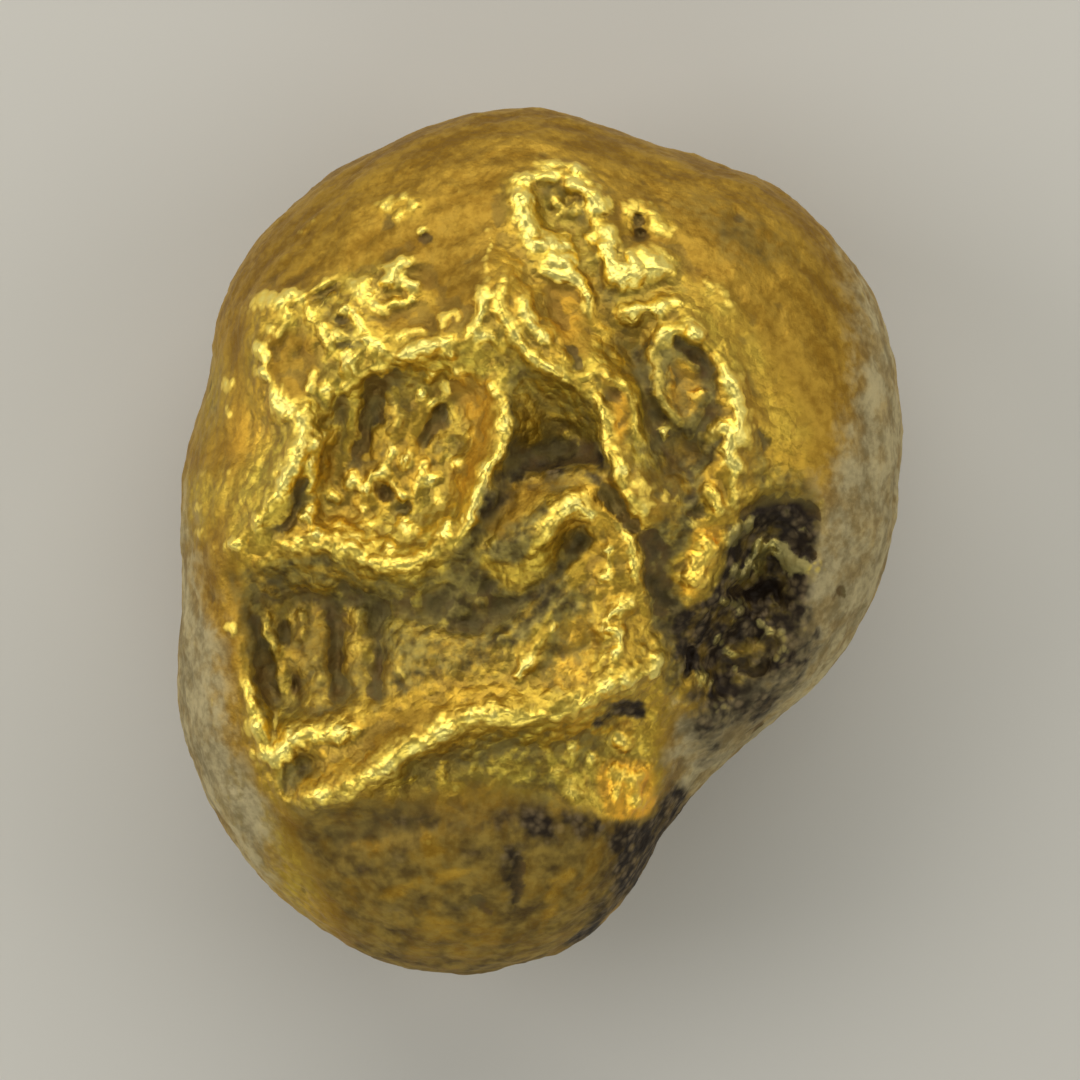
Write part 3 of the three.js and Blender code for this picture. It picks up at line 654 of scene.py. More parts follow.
# Dark film in the hollows: dirt and clay, and painted shade where the hollows lie in shade.
FILMED_AND_SHADED = [
    (0.95, 0.3, [(-0.55, 3.0), (0.3, 2.7), (0.9, 2.35), (1.1, 2.0), (1.25, 1.4), (1.1, 1.1), (0.3, 1.15),
                 (-0.25, 0.9),
                 (-0.55, 0.4), (-0.9, -0.2), (-0.5, -0.7), (0.1, -0.5), (0.4, 0.1), (0.75, 0.4),
                 (0.9, -0.2), (0.3, -0.9),
                 (-0.4, -1.6), (-1.6, -1.8), (-1.9, -0.6), (-1.3, 0.2), (-1.05, 1.0), (-0.75, 1.5)]),
    (0.4, 0.25, [(-3.7, 2.2), (-3.2, 2.6), (-2.9, 2.65), (-2.1, 2.9), (-2.0, 2.2), (-2.6, 1.3), (-3.3, 1.1)]),
    (0.9, 0.35, [(-5.5, -0.5), (-4.4, -0.15), (-3.5, -0.1), (-2.4, -0.45), (-1.5, -0.3), (-1.4, -1.2),
                 (-2.3, -1.5),
                 (-2.5, -2.3), (-2.6, -3.0), (-3.0, -3.0), (-3.1, -1.6), (-3.3, -1.5), (-3.4, -3.0),
                 (-3.7, -3.0),
                 (-3.8, -1.6), (-4.4, -1.3), (-4.7, -1.8), (-4.5, -3.1), (-5.0, -3.1), (-5.3, -1.5)]),
    (0.5, 0.4, [(-5.2, -1.0), (-2.3, -1.0), (-2.2, -2.6), (-3.2, -3.1), (-4.4, -3.2), (-5.1, -2.6)]),
    (0.95, 0.25, [(1.5, 3.4), (2.0, 3.5), (2.6, 3.4), (3.05, 2.9), (3.2, 1.7), (2.9, 1.0), (2.7, 0.4),
                  (2.4, 0.2),
                  (2.3, -0.8), (2.2, -1.7), (1.7, -1.3), (1.65, 0.1), (2.3, 0.7), (2.3, 1.05), (1.7, 1.35),
                  (1.65, 2.4),
                  (1.4, 3.0)]),
    (0.4, 0.25, [(1.0, 3.5), (1.2, 3.75), (1.9, 3.65), (1.9, 3.3), (1.4, 2.9)]),
    (0.8, 0.3, [(1.7, 0.3), (2.1, 0.5), (2.7, 0.8), (2.8, 0.1), (2.4, -0.6), (2.7, -1.3), (2.6, -2.5),
                (2.1, -2.7),
                (1.9, -1.6), (1.7, -0.8)]),
    (0.5, 0.5, [(-3.2, -4.7), (-2.0, -3.9), (-1.2, -3.2), (0.2, -3.2), (1.0, -2.9), (1.6, -2.5), (1.8, -3.0),
                 (1.0, -3.9), (0.4, -4.6), (-1.4, -4.9)]),
    (0.5, 0.15, [(-0.1, 6.05), (0.35, 6.15), (0.8, 6.0), (0.9, 5.5), (0.95, 5.0), (1.1, 4.6), (1.4, 4.2),
                 (1.3, 3.8),
                 (0.95, 4.0), (0.8, 4.7), (0.7, 5.1), (0.6, 5.4), (0.2, 5.4), (0.0, 5.6)]),
    (0.7, 0.25, [(-4.6, -4.4), (-4.45, -3.8), (-4.0, -3.5), (-3.7, -3.9), (-4.1, -4.3)]),
    (0.7, 0.5, [(-3.0, -0.5), (-1.3, -0.5), (-0.2, -1.3), (-0.4, -2.2), (-1.5, -2.6), (-2.4, -2.9),
                (-3.0, -3.1)]),
    (0.85, 0.25, [(-1.1, -0.3), (-0.6, 0.3), (0.0, 0.75), (0.25, 0.5), (0.0, 0.0), (-0.3, -0.6)]),
    (0.6, 0.2, [(-0.2, 0.8), (0.3, 1.3), (0.9, 1.25), (1.15, 0.9), (0.75, 0.8), (0.2, 0.65)]),
    (0.9, 0.25, [(-0.9, -1.8), (-0.1, -1.0), (0.35, -0.4), (0.65, -0.7), (0.3, -1.3), (-0.4, -2.0)]),
    (0.75, 0.3, [(0.2, -0.8), (1.0, -0.6), (1.0, -1.4), (0.9, -2.6), (0.0, -2.6), (0.0, -1.5)]),
    (0.5, 0.2, [(-3.9, 4.05), (-3.6, 4.3), (-3.3, 4.2), (-3.1, 3.7), (-2.9, 3.2), (-3.4, 3.1), (-3.6, 3.5)]),
    (0.6, 0.5, [(3.4, 2.3), (4.2, 1.6), (5.0, 0.9), (4.8, 0.4), (3.6, 0.6), (3.2, 0.7)]),
    (0.7, 0.7, [(2.0, 5.9), (3.4, 6.1), (4.6, 5.2), (4.4, 4.4), (3.4, 4.3), (2.6, 4.9), (2.4, 5.3)]),
    (0.6, 0.2, [(1.5, 1.7), (1.9, 1.7), (2.8, 1.1), (2.6, 0.3), (2.2, 0.2), (1.9, 0.6), (1.6, 1.0)]),
    (0.4, 0.2, [(1.1, 2.6), (1.6, 2.4), (1.7, 1.6), (2.0, 0.9), (1.8, 0.3), (1.4, 0.9), (1.2, 1.7)]),
    (0.45, 0.25, [(-1.9, 2.2), (-1.4, 2.3), (-1.2, 1.5), (-1.9, 1.3)]),
    (0.85, 0.6, [(-4.5, -4.3), (-3.0, -4.1), (-1.4, -4.1), (0.2, -4.0), (1.0, -4.4), (2.2, -4.2),
                (3.0, -5.0), (1.8, -6.8), (0.0, -7.8), (-1.6, -8.2), (-3.3, -7.8), (-3.8, -6.6),
                (-4.4, -5.5)]),
]
# Black sand and black stain in the dark cavity and on the narrow end, and painted shadow under a ledge and
# under the long fold.
BLACKENED_AND_SHADOWED = [
    (1.0, 0.3, [(3.0, 0.25), (3.5, 0.65), (4.2, 0.8), (4.85, 0.6), (5.0, 0.1), (4.8, -0.6), (4.7, -1.2),
                (4.6, -2.0),
                (3.8, -2.8), (2.9, -2.9), (2.3, -2.7), (2.05, -1.4), (2.4, -1.0), (2.75, -0.75),
                (2.95, -0.4)]),
    (0.75, 0.6, [(2.4, -2.2), (3.4, -1.8), (4.4, -1.6), (5.1, -2.1), (4.5, -3.1), (3.5, -3.9), (2.7, -4.3),
                 (2.2, -3.4)]),
    (1.0, 0.5, [(0.6, -4.75), (1.8, -4.5), (1.95, -3.6), (2.5, -3.9), (3.2, -5.0), (2.6, -6.8), (0.9, -7.8),
                 (0.1, -7.1), (0.6, -6.5), (0.95, -5.6)]),
    (0.85, 0.4, [(-0.5, -4.45), (0.3, -4.35), (1.4, -4.6), (1.6, -5.0), (1.0, -5.35), (-0.3, -5.25)]),
    (0.8, 0.35, [(-0.8, -5.2), (-0.1, -5.1), (-0.2, -6.3), (-0.7, -6.4)]),
    (0.5, 0.35, [(-2.9, -4.5), (-1.6, -4.45), (0.2, -4.4), (0.3, -5.1), (-1.2, -5.2), (-2.8, -5.0)]),
    (0.4, 0.3, [(-2.7, -5.2), (-0.9, -5.1), (-0.8, -5.5), (-1.9, -5.6), (-3.3, -6.0), (-3.4, -5.5)]),
    (0.4, 0.3, [(-2.9, -6.2), (-1.9, -6.0), (-0.9, -6.1), (-1.0, -6.5), (-2.2, -6.6), (-2.9, -6.6)]),
    (0.35, 0.2, [(-5.1, -1.1), (-4.7, -1.5), (-4.45, -2.6), (-4.5, -3.1), (-4.85, -3.1)]),
    (0.6, 0.2, [(-0.9, 1.25), (-0.3, 1.3), (0.5, 1.2), (0.4, 0.95), (0.1, 0.8), (-0.3, 0.6), (-0.7, 0.35),
                (-1.0, 0.1),
                (-1.15, 0.4)]),
    (0.4, 0.2, [(2.2, 3.4), (2.5, 3.45), (2.95, 3.1), (3.05, 2.6), (2.8, 2.8), (2.4, 3.1)]),
    # a painted shadow under the ledge across the foot of the well
    (0.8, 0.2, [(-0.4, 1.4), (0.3, 1.5), (1.2, 1.55), (1.25, 0.9), (0.6, 0.95), (0.0, 0.95), (-0.5, 0.8)]),
    # a painted shadow under the right end of the long fold
    (0.85, 0.15, [(0.8, -3.0), (1.35, -2.68), (1.85, -2.7), (1.85, -3.1), (1.4, -3.1), (0.9, -3.25)]),
    (0.5, 0.2, [(-3.0, 2.4), (-2.5, 2.5), (-2.4, 1.7), (-2.9, 1.5)]),
    (0.6, 0.12, [(-4.0, 1.2), (-3.95, 0.8), (-4.15, 0.3), (-4.35, -0.05), (-4.65, -0.05), (-4.5, 0.4),
                 (-4.2, 1.0)]),
    (0.8, 0.3, [(4.0, -1.1), (4.7, -0.9), (5.0, -1.8), (4.6, -2.5), (4.1, -2.2)]),
    (0.45, 0.25, [(-0.5, -0.7), (0.2, -0.2), (0.6, -0.4), (0.3, -1.2), (-0.3, -1.5)]),
    (0.45, 0.2, [(2.3, 1.0), (2.75, 1.0), (2.75, 0.6), (2.65, 0.15), (2.25, 0.15), (2.35, 0.6)]),
    (0.25, 0.3, [(-2.2, -0.9), (-1.2, -0.9), (-0.9, -1.5), (-1.8, -1.6)]),
    (0.5, 0.3, [(1.7, 0.2), (2.35, 0.35), (2.2, -0.6), (2.6, -1.1), (2.8, -2.5), (2.0, -2.6), (1.8, -1.2)]),
    (0.15, 0.25, [(-4.2, -0.8), (-2.9, -0.9), (-2.9, -1.3), (-3.6, -1.5), (-4.0, -1.2)]),
]


def painted(loops):
    """One mark made of several loops, each with its own strength and soft edge."""
    mark = np.zeros(len(plan))
    for strength, edge, loop in loops:
        mark = np.maximum(mark, strength * within(loop, edge))
    return mark * topside


COPPERY = [
    (1.0, 0.12, [(2.32, -0.95), (2.38, -0.4), (2.7, 0.25), (3.1, 0.2), (2.9, -0.55), (2.65, -0.95)]),
    (1.0, 0.15, [(0.95, -3.95), (1.3, -3.65), (1.95, -3.8), (2.0, -4.6), (1.5, -4.85), (1.05, -4.6)]),
    (0.7, 0.2, [(1.2, -3.5), (1.4, -3.0), (1.7, -3.2), (1.6, -3.6)]),
    (0.4, 0.3, [(-1.6, 2.9), (-0.8, 2.8), (-0.7, 2.0), (-1.1, 0.8), (-1.5, 0.6), (-1.4, 1.8)]),
    (0.3, 0.5, [(-5.3, 2.4), (-4.5, 2.3), (-4.3, 1.9), (-4.8, 1.2), (-5.6, 1.4)]),
    (0.4, 0.3, [(0.4, -1.2), (0.9, -1.1), (1.0, -2.4), (0.0, -2.6), (0.1, -1.8)]),
    (0.3, 0.2, [(0.0, 4.3), (0.6, 4.3), (0.7, 3.4), (0.3, 3.2)]),
    (0.7, 0.15, [(1.15, 2.4), (1.45, 2.4), (1.5, 1.7), (1.2, 1.6)]),
    (0.55, 0.2, [(2.0, 3.0), (2.5, 3.15), (2.8, 2.7), (2.8, 2.3), (2.5, 2.0), (2.1, 2.3)]),
]
POLISHED = [
    (0.95, 0.7, [(2.2, 4.8), (3.2, 4.4), (4.2, 3.2), (4.9, 1.8), (4.7, 0.4), (3.3, 0.6), (3.2, 2.8),
                 (2.4, 4.0)]),
    (0.8, 0.3, [(-3.0, 5.7), (-2.6, 6.1), (-2.0, 6.0), (-1.9, 5.5), (-2.6, 5.3)]),
    (0.8, 0.2, [(1.3, 5.2), (1.5, 5.8), (2.0, 5.8), (2.4, 5.4), (2.0, 5.1)]),
    (0.7, 0.8, [(-6.6, 1.3), (-5.2, 1.5), (-4.8, 0.6), (-5.6, -0.2), (-6.4, -0.4)]),
    (0.7, 0.8, [(-6.6, 3.8), (-5.4, 3.6), (-5.1, 2.6), (-5.4, 1.6), (-6.2, 1.4)]),
    (0.8, 0.5, [(-5.4, -3.6), (-4.6, -4.4), (-4.1, -5.2), (-3.5, -6.4), (-3.6, -7.2), (-4.8, -6.4),
                (-5.8, -4.6)]),
]
TARNISHED = [
    (0.95, 0.25, [(-4.9, 3.6), (-4.2, 3.7), (-3.7, 3.3), (-3.6, 2.6), (-4.2, 2.2), (-4.7, 2.7)]),
    (0.95, 0.3, [(-2.9, 4.0), (-2.0, 4.1), (-1.0, 4.2), (-1.1, 3.6), (-1.9, 3.3), (-2.8, 3.5)]),
    (0.85, 0.25, [(-2.0, 2.4), (-1.4, 2.9), (-0.8, 2.7), (-0.7, 1.8), (-1.1, 0.8), (-1.4, 0.2), (-1.5, 1.2),
                  (-1.3, 2.0)]),
    (0.85, 0.2, [(0.9, 2.9), (1.3, 2.7), (1.6, 2.2), (1.6, 1.5), (1.9, 0.9), (1.8, 0.3), (1.5, 0.6),
                 (1.3, 1.3)]),
    (0.8, 0.2, [(0.0, 4.4), (0.6, 4.35), (0.85, 3.9), (1.0, 3.4), (0.85, 3.0), (0.45, 2.95), (0.15, 3.6)]),
    (0.85, 0.2, [(1.4, 1.35), (1.9, 1.25), (2.5, 1.15), (2.4, 0.5), (2.0, 0.1), (1.5, 0.6)]),
    (0.8, 0.25, [(-3.0, -3.0), (-1.9, -2.7), (-1.6, -3.0), (-2.3, -3.5), (-3.0, -3.7)]),
    (0.9, 0.2, [(-1.1, 0.3), (-0.5, 0.95), (0.3, 1.15), (0.9, 1.0), (0.4, 0.75), (-0.1, 0.45), (-0.6, -0.1)]),
    (0.4, 0.4, [(-4.4, -1.2), (-2.6, -1.2), (-2.4, -3.0), (-3.4, -3.1), (-4.3, -2.9)]),
]
CLEARED = [
    (0.9, 0.12, [(-1.95, -3.9), (-1.6, -3.6), (-1.35, -3.9), (-1.3, -4.4), (-1.75, -4.25)]),
    (0.9, 0.15, [(0.15, -3.6), (0.6, -3.9), (0.8, -4.5), (0.5, -4.5), (0.3, -4.1)]),
    (0.6, 0.15, [(-2.15, -4.75), (-1.85, -4.8), (-1.6, -5.3), (-2.0, -5.4)]),
    (0.7, 0.15, [(-2.8, -6.2), (-2.6, -5.95), (-2.0, -5.65), (-2.0, -5.95), (-2.4, -6.2)]),
    (0.7, 0.15, [(-1.85, -5.95), (-1.8, -5.65), (-1.3, -5.45), (-1.1, -5.65), (-1.5, -5.9)]),
    (0.6, 0.15, [(0.2, -5.7), (0.5, -5.4), (0.65, -5.7), (0.3, -6.4), (-0.1, -6.9), (0.0, -6.3)]),
    (0.5, 0.12, [(0.8, -5.3), (1.1, -5.2), (1.0, -5.7), (0.75, -6.2), (0.6, -6.0)]),
    (0.5, 0.15, [(-3.5, -5.9), (-3.2, -5.8), (-3.1, -6.4), (-3.4, -6.4)]),
    (0.3, 0.2, [(-2.1, -6.4), (-1.2, -6.5), (-0.6, -6.6), (-0.9, -7.4), (-2.3, -7.3)]),
    (0.45, 0.15, [(-3.3, -5.2), (-2.9, -5.0), (-2.5, -5.2), (-2.9, -5.45)]),
    (0.7, 0.2, [(-0.45, 2.8), (0.4, 2.6), (1.0, 2.1), (1.0, 1.6), (0.2, 1.6), (-0.45, 1.5)]),
    (0.3, 0.2, [(1.6, 3.4), (2.0, 3.3), (1.9, 2.5), (2.6, 1.9), (3.0, 2.4), (3.0, 1.5), (2.4, 1.2),
                (1.8, 1.8)]),
    (0.5, 0.2, [(-3.7, 2.2), (-3.2, 2.7), (-2.3, 2.95), (-1.2, 2.9), (-1.4, 2.4), (-2.6, 2.2), (-3.2, 1.4)]),
    (0.25, 0.3, [(3.3, -1.7), (4.0, -1.9), (4.0, -2.7), (3.3, -2.8)]),
    (0.4, 0.2, [(2.4, -2.2), (2.9, -2.2), (2.9, -2.7), (2.4, -2.7)]),
    (0.35, 0.2, [(-5.3, -0.4), (-3.0, -0.3), (-1.6, -0.4), (-1.6, -1.0), (-3.0, -0.95), (-5.1, -1.0)]),
]
coppery = painted(COPPERY)
# the film mark: dirt, and painted shade in the hollows
filmed_and_shaded = painted(FILMED_AND_SHADED) * (1 - coppery) * (1 - painted(CLEARED))
# the black mark: black sand and stain, and painted shadow in places
blackened_and_shadowed = painted(BLACKENED_AND_SHADOWED) * (1 - coppery) * (1 - painted(CLEARED))

GRANULE = 0.24
granular = painted(GRANULAR)
round_about = np.arctan2(skin[:, 1], skin[:, 0])
reach_out = np.hypot(skin[:, 0], skin[:, 1])
streaks = np.array([noise.noise(Vector((r / 0.3, 6 * a, z / 0.4)))
                    for r, a, z in zip(reach_out, round_about, skin[:, 2])])
shell = 1 - inner
hidden = 1 - upper
pits = fade((cells(1.3) - 0.78) / 0.16) * fade((grain(1.9) + 0.1) / 0.3) * (0.25 + 0.75 * hidden) * shell
granules_up = cells(GRANULE) - 0.55
# Each lump's height is in millimetres, and then the size of its pattern.
lumps = 0.04 * shell * grain(0.9) + 0.03 * shell * grain(0.35) + 0.025 * shell * streaks
lumps += hidden * (0.1 * grain(2.4) + 0.05 * grain(1.2)) - 0.13 * pits
lumps += 0.04 * inner * grain(0.6) + 0.025 * inner * grain(0.28)
lumps += (0.025 + 0.03 * inner + 0.06 * granular) * granules_up
lumps += 0.016 * grain(0.13) + 0.1 * filmed_and_shaded * inner * (grain(0.45) + 0.5 * grain(0.2))
RESTING_BAND = 0.25
press("lumps", lumps * fade(skin[:, 2] / RESTING_BAND), direction="NORMAL")
rub_down(1)


# The nugget, how proud each spot stands of the skin round it. What stands proud is worn bright and gets a
# painted highlight, the seams keep their dirt and get painted shade, and pale dust with a painted reflection
# of the pale floor lies round the rim and low on the sides.
def proud(rounds):
    """How far each vertex stands out from its surroundings, in millimetres."""
    ends = np.empty(len(nugget.data.edges) * 2, dtype=np.int64)
    nugget.data.edges.foreach_get("vertices", ends)
    ends = ends.reshape(-1, 2)
    facing = np.empty(len(nugget.data.vertices) * 3)
    nugget.data.vertices.foreach_get("normal", facing)
    now = places()
    calm = now.copy()
    count = np.bincount(ends.ravel(), minlength=len(now))[:, None]
    for _ in range(rounds):
        total = np.empty_like(calm)
        for k in range(3):
            total[:, k] = np.bincount(ends[:, 0], calm[ends[:, 1], k], len(calm))
            total[:, k] += np.bincount(ends[:, 1], calm[ends[:, 0], k], len(calm))
        calm = total / count
    return ((now - calm) * facing.reshape(-1, 3)).sum(axis=1)


# proudness: how far each spot stands out; proud spots get a painted highlight, low spots painted shade
proudness = np.clip(proud(10) / 0.02, -1, 1) * 0.7 + np.clip(proud(60) / 0.15, -1, 1) * 0.3
level = fade((skin[:, 2] / skin[:, 2].max() - 0.3) / 0.3)
# The pale rim: dust, and a painted reflection of the pale floor on the sides.
DUST_AND_REFLECTION_LOOPS = [
    (0.85, 1.1, [(3.4, -5.8), (1.6, -6.0), (1.7, -4.9), (1.6, -3.4), (1.9, -2.2), (2.6, -2.3), (3.1, -1.9),
                 (3.4, -1.3),
                 (3.5, -0.6), (3.6, 0.2), (4.1, 0.8), (4.7, 2.2), (4.9, 4.0), (4.6, 5.4), (6.6, 5.4),
                 (7.8, 0.0),
                 (6.0, -3.6)]),
    (0.5, 0.8, [(3.6, 6.4), (4.5, 5.6), (5.2, 4.2), (5.6, 2.6), (7.0, 3.0), (6.6, 5.5), (4.5, 7.4)]),
    (0.95, 1.1, [(-7.6, -3.0), (-7.0, 1.8), (-5.9, 1.4), (-5.4, -0.4), (-5.0, -1.5), (-4.8, -3.2),
                 (-4.1, -4.8),
                (-4.6, -7.0)]),
]
# paler towards the bottom of the sides: dust and painted floor reflection
dust_and_reflection = (0.35 + 0.3 * grain(1.8)) * (1 - level)
for strength, edge, loop in DUST_AND_REFLECTION_LOOPS:
    dust_and_reflection = np.maximum(dust_and_reflection, strength * within(loop, edge) * (0.4 + 0.6 * level))
# the pits take the same dirt and painted shade as the furrows
furrow = np.maximum(furrow * upper, 0.9 * pits)
# each granule's top in the granular patches gets a painted glint
crest = np.maximum(crest, 0.85 * granular * fade(granules_up / 0.3)) * upper
burnished = np.maximum(inner * (1 - painted(TARNISHED)), painted(POLISHED))
MARKS = {"burnished": burnished, "filmed_and_shaded": filmed_and_shaded, "blackened_and_shadowed": blackened_and_shadowed, "coppery": coppery, "dust_and_reflection": dust_and_reflection,
         "proudness": proudness, "streaks": streaks, "crest": crest, "furrow": furrow}
for name, amount in MARKS.items():
    marks = nugget.data.attributes.new(name, "FLOAT", "POINT")
    marks.data.foreach_set("value", np.ascontiguousarray(amount, dtype=np.float32))

# The nugget, the gold. Native gold with a tenth of silver: satin brown-gold on the shell, burnished in the
# folds with painted highlights along the crests, darkened in the hollows and seams by settled sand and clay
# and by painted shade, and pale round the rim with dust and a painted reflection of the floor. A pair of
# colours is what the finish varies between.
SATIN = (0.3, 0.165, 0.02), (0.52, 0.32, 0.046)
BURNISHED = (0.7, 0.43, 0.05), (0.7, 0.52, 0.075)
GRAIN_GAP = (0.38, 0.24, 0.032)
DULL_PATCH = (0.36, 0.21, 0.03)
COPPER_GOLD = (1.0, 0.55, 0.055)
# pale colours of the rim: dust and painted floor reflection
DUST_AND_REFLECTION_COLOURS = (0.27, 0.215, 0.105), (0.55, 0.455, 0.25)
# colours of the film: dirt, and painted shade in the hollows
SHELL_FILM_AND_SHADE = (0.1, 0.06, 0.017), (0.35, 0.235, 0.05)
FOLD_FILM_AND_SHADE = (0.088, 0.062, 0.021), (0.37, 0.29, 0.078)
# colours of the seams: dirt, and painted shade in every recess
SEAM_DIRT_AND_SHADE = (0.11, 0.062, 0.022), (0.14, 0.105, 0.036)
# painted highlight colours for the crests and their tops, on worn-bright gold
CREST_HIGHLIGHT_GOLD = (0.98, 0.73, 0.13), (1.0, 0.62, 0.07)
TOP_HIGHLIGHT_GOLD = (1.0, 0.83, 0.22), (1.0, 0.7, 0.11)
# colours of the black mark, used for black sand and for painted shadow alike
BLACK_SAND_AND_SHADOW = (0.024, 0.016, 0.009), (0.19, 0.135, 0.07)
SAND_GAP = (0.02, 0.013, 0.008)
SAND_CREST = (0.34, 0.28, 0.1)
SAND_SEAM = (0.024, 0.015, 0.009)

gold = bpy.data.materials.new("native_gold")
gold.use_nodes = True
tree = gold.node_tree
shader = tree.nodes["Principled BSDF"]


def node(kind, **settings):
    """Adds a node, with its settings and its inputs' values by name."""
    made = tree.nodes.new("ShaderNode" + kind)
    for key, value in settings.items():
        if key in made.inputs:
            made.inputs[key].default_value = value
        else:
            setattr(made, key, value)
    return made


def mark(name):
    """A painted mark's strength."""
    made = node("Attribute", attribute_type="GEOMETRY")
    made.attribute_name = name
    return made.outputs["Fac"]


def pattern(size, detail=3, rough=0.55):
    """A cloudy pattern with patches of that size in millimetres."""
    made = node("TexNoise", Scale=1 / (size * MM), Detail=detail, Roughness=rough)
    tree.links.new(place, made.inputs["Vector"])
    return made.outputs["Fac"]


def between(value, start, end, low=0.0, high=1.0):
    """Carries a value from one range to another, smoothly."""
    made = node("MapRange", interpolation_type="SMOOTHSTEP")
    for socket, number in zip(("From Min", "From Max", "To Min", "To Max"), (start, end, low, high)):
        made.inputs[socket].default_value = number
    tree.links.new(value, made.inputs["Value"])
    return made.outputs["Result"]


def sum_up(operation, a, b):
    """Adds or multiplies two values; either may be a plain number."""
    made = node("Math", operation=operation)
    for socket, value in zip(made.inputs, (a, b)):
        if isinstance(value, (int, float)):
            socket.default_value = value
        else:
            tree.links.new(value, socket)
    return made.outputs["Value"]


def blend(share, below, above):
    """Mixes two colours or values by a share."""
    made = node("Mix", data_type="RGBA")
    tree.links.new(share, made.inputs[0])
    for socket, value in ((made.inputs[6], below), (made.inputs[7], above)):
        if isinstance(value, tuple):
            socket.default_value = (*value, 1)
        else:
            tree.links.new(value, socket)
    return made.outputs[2]


def granules(size):
    """Close-packed rounded grains of that size in millimetres: 0 at each grain's middle."""
    made = node("TexVoronoi", feature="F1", Scale=1 / (size * MM))
    tree.links.new(place, made.inputs["Vector"])
    return made.outputs["Distance"]


place = node("TexCoord").outputs["Object"]
broad = between(pattern(1.6), 0.35, 0.65)
patchy = between(pattern(0.5), 0.35, 0.65)
speckled = between(pattern(0.14), 0.3, 0.7)
grainy = between(granules(0.16), 0.2, 0.8)
ragged = between(pattern(0.24, detail=2), 0.3, 0.72)
burnished = mark("burnished")
proudness = mark("proudness")
# low spots of the proudness map, for painted shade
low_spots = between(proudness, -0.1, -0.7)
# film: dirt and painted shade, broken up by speckles and patches
filmed_and_shaded = sum_up("ADD", mark("filmed_and_shaded"), sum_up("MULTIPLY", speckled, 0.25))
filmed_and_shaded = between(sum_up("ADD", filmed_and_shaded, sum_up("MULTIPLY", patchy, 0.35)), 0.4, 1.3)
blackened_and_shadowed = between(sum_up("ADD", mark("blackened_and_shadowed"), sum_up("MULTIPLY", patchy, 0.45)), 0.4, 1.3)
# rim: dust and painted floor reflection
dust_and_reflection = between(sum_up("ADD", mark("dust_and_reflection"), sum_up("MULTIPLY", patchy, 0.35)), 0.3, 1.15)
clear = sum_up("SUBTRACT", 1.0, sum_up("MULTIPLY", filmed_and_shaded, 0.75))
# crests and proud spots get a painted highlight, paler at the tops and weaker under the film
broken = sum_up("ADD", mark("crest"), sum_up("MULTIPLY", sum_up("MULTIPLY", proudness, clear), 0.3))
broken = sum_up("SUBTRACT", broken, sum_up("MULTIPLY", grainy, 0.4))
crests = between(broken, 0.1, 0.7)
tops = between(broken, 0.6, 1.25)
# seams: dirt and painted shade in the furrows, the pits and every low spot
seams = between(sum_up("ADD", mark("furrow"), sum_up("MULTIPLY", low_spots, 0.6)), 0.15, 1.1)

cloudy = sum_up("ADD", sum_up("MULTIPLY", speckled, 0.5), sum_up("MULTIPLY", patchy, 0.3))
cloudy = between(sum_up("ADD", cloudy, sum_up("MULTIPLY", mark("streaks"), 0.6)), -0.15, 1.0)
worn = blend(cloudy, *SATIN)
mottled = between(sum_up("ADD", pattern(0.36, detail=2), sum_up("MULTIPLY", speckled, 0.15)), 0.3, 0.85)
bright = blend(broad, *BURNISHED)
bright = blend(sum_up("MULTIPLY", grainy, 0.5), bright, GRAIN_GAP)
bright = blend(between(ragged, 0.5, 0.1, 0, 0.45), bright, DULL_PATCH)
colour = blend(burnished, worn, bright)
colour = blend(mark("coppery"), colour, COPPER_GOLD)
colour = blend(dust_and_reflection, colour, blend(cloudy, *DUST_AND_REFLECTION_COLOURS))
film_and_shade = blend(burnished, blend(mottled, *SHELL_FILM_AND_SHADE), blend(ragged, *FOLD_FILM_AND_SHADE))
colour = blend(filmed_and_shaded, colour, film_and_shade)
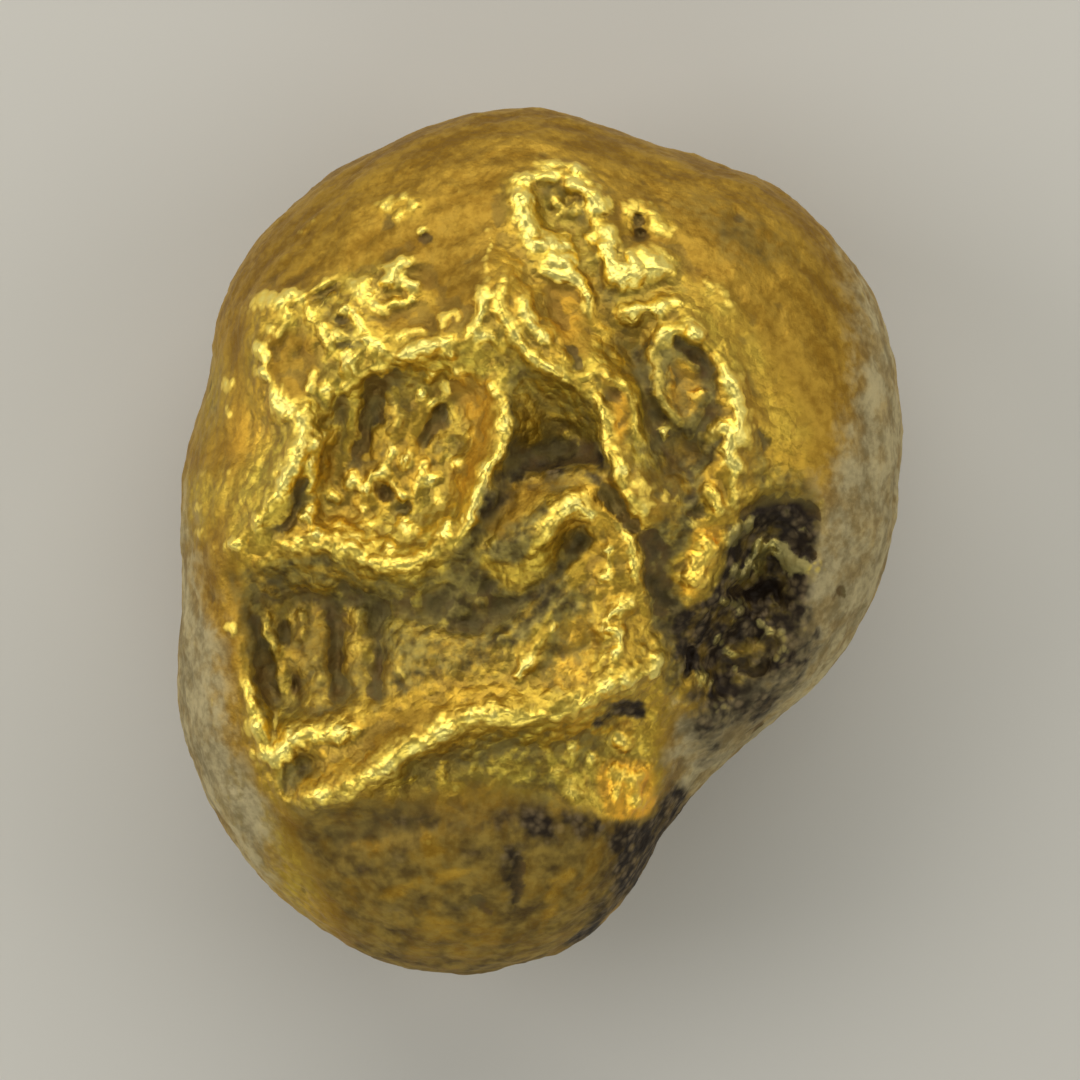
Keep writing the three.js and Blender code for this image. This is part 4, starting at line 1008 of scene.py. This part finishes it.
# the black mark's colour: black sand and painted shadow, its crests with a dull painted highlight and its
# seams with painted shade
black_sand_and_shadow = blend(grainy, blend(ragged, *BLACK_SAND_AND_SHADOW), SAND_GAP)
black_sand_and_shadow = blend(seams, blend(crests, black_sand_and_shadow, SAND_CREST), SAND_SEAM)
colour = blend(sum_up("MULTIPLY", seams, 0.85), colour, blend(patchy, *SEAM_DIRT_AND_SHADE))
veiled = sum_up("SUBTRACT", 1.0, sum_up("MULTIPLY", filmed_and_shaded, 0.55))
# the painted crest highlights, laid over the colour
crest_highlight_gold = blend(mark("coppery"), *CREST_HIGHLIGHT_GOLD)
top_highlight_gold = blend(mark("coppery"), *TOP_HIGHLIGHT_GOLD)
colour = blend(sum_up("MULTIPLY", crests, veiled), colour, crest_highlight_gold)
colour = blend(sum_up("MULTIPLY", tops, veiled), colour, top_highlight_gold)
colour = blend(blackened_and_shadowed, colour, black_sand_and_shadow)
tree.links.new(colour, shader.inputs["Base Color"])

roughness = between(burnished, 0, 1, 0.55, 0.44)
roughness = sum_up("ADD", roughness, sum_up("MULTIPLY", filmed_and_shaded, 0.1))
roughness = sum_up("ADD", roughness, sum_up("MULTIPLY", dust_and_reflection, 0.15))
roughness = sum_up("SUBTRACT", roughness, sum_up("MULTIPLY", crests, 0.06))
tree.links.new(roughness, shader.inputs["Roughness"])
shader.inputs["Specular IOR Level"].default_value = 0.12
dull = sum_up("ADD", sum_up("MULTIPLY", blackened_and_shadowed, 0.7), sum_up("MULTIPLY", dust_and_reflection, 0.6))
dull = sum_up("ADD", dull, sum_up("MULTIPLY", sum_up("ADD", filmed_and_shaded, seams), 0.5))
dull = sum_up("SUBTRACT", dull, sum_up("MULTIPLY", crests, 0.5))
tree.links.new(between(dull, 0, 1, 1, 0.15), shader.inputs["Metallic"])

fine = node("Bump", Strength=0.7, Distance=0.03 * MM)
tree.links.new(pattern(0.11, detail=4), fine.inputs["Height"])
coarse = node("Bump", Distance=0.05 * MM)
coarse.invert = True
tree.links.new(between(burnished, 0, 1, 0.15, 0.7), coarse.inputs["Strength"])
tree.links.new(granules(0.2), coarse.inputs["Height"])
tree.links.new(coarse.outputs["Normal"], fine.inputs["Normal"])
tree.links.new(fine.outputs["Normal"], shader.inputs["Normal"])
nugget.data.materials.clear()
nugget.data.materials.append(gold)
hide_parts("nugget")
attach(nugget, "root")

low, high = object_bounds()
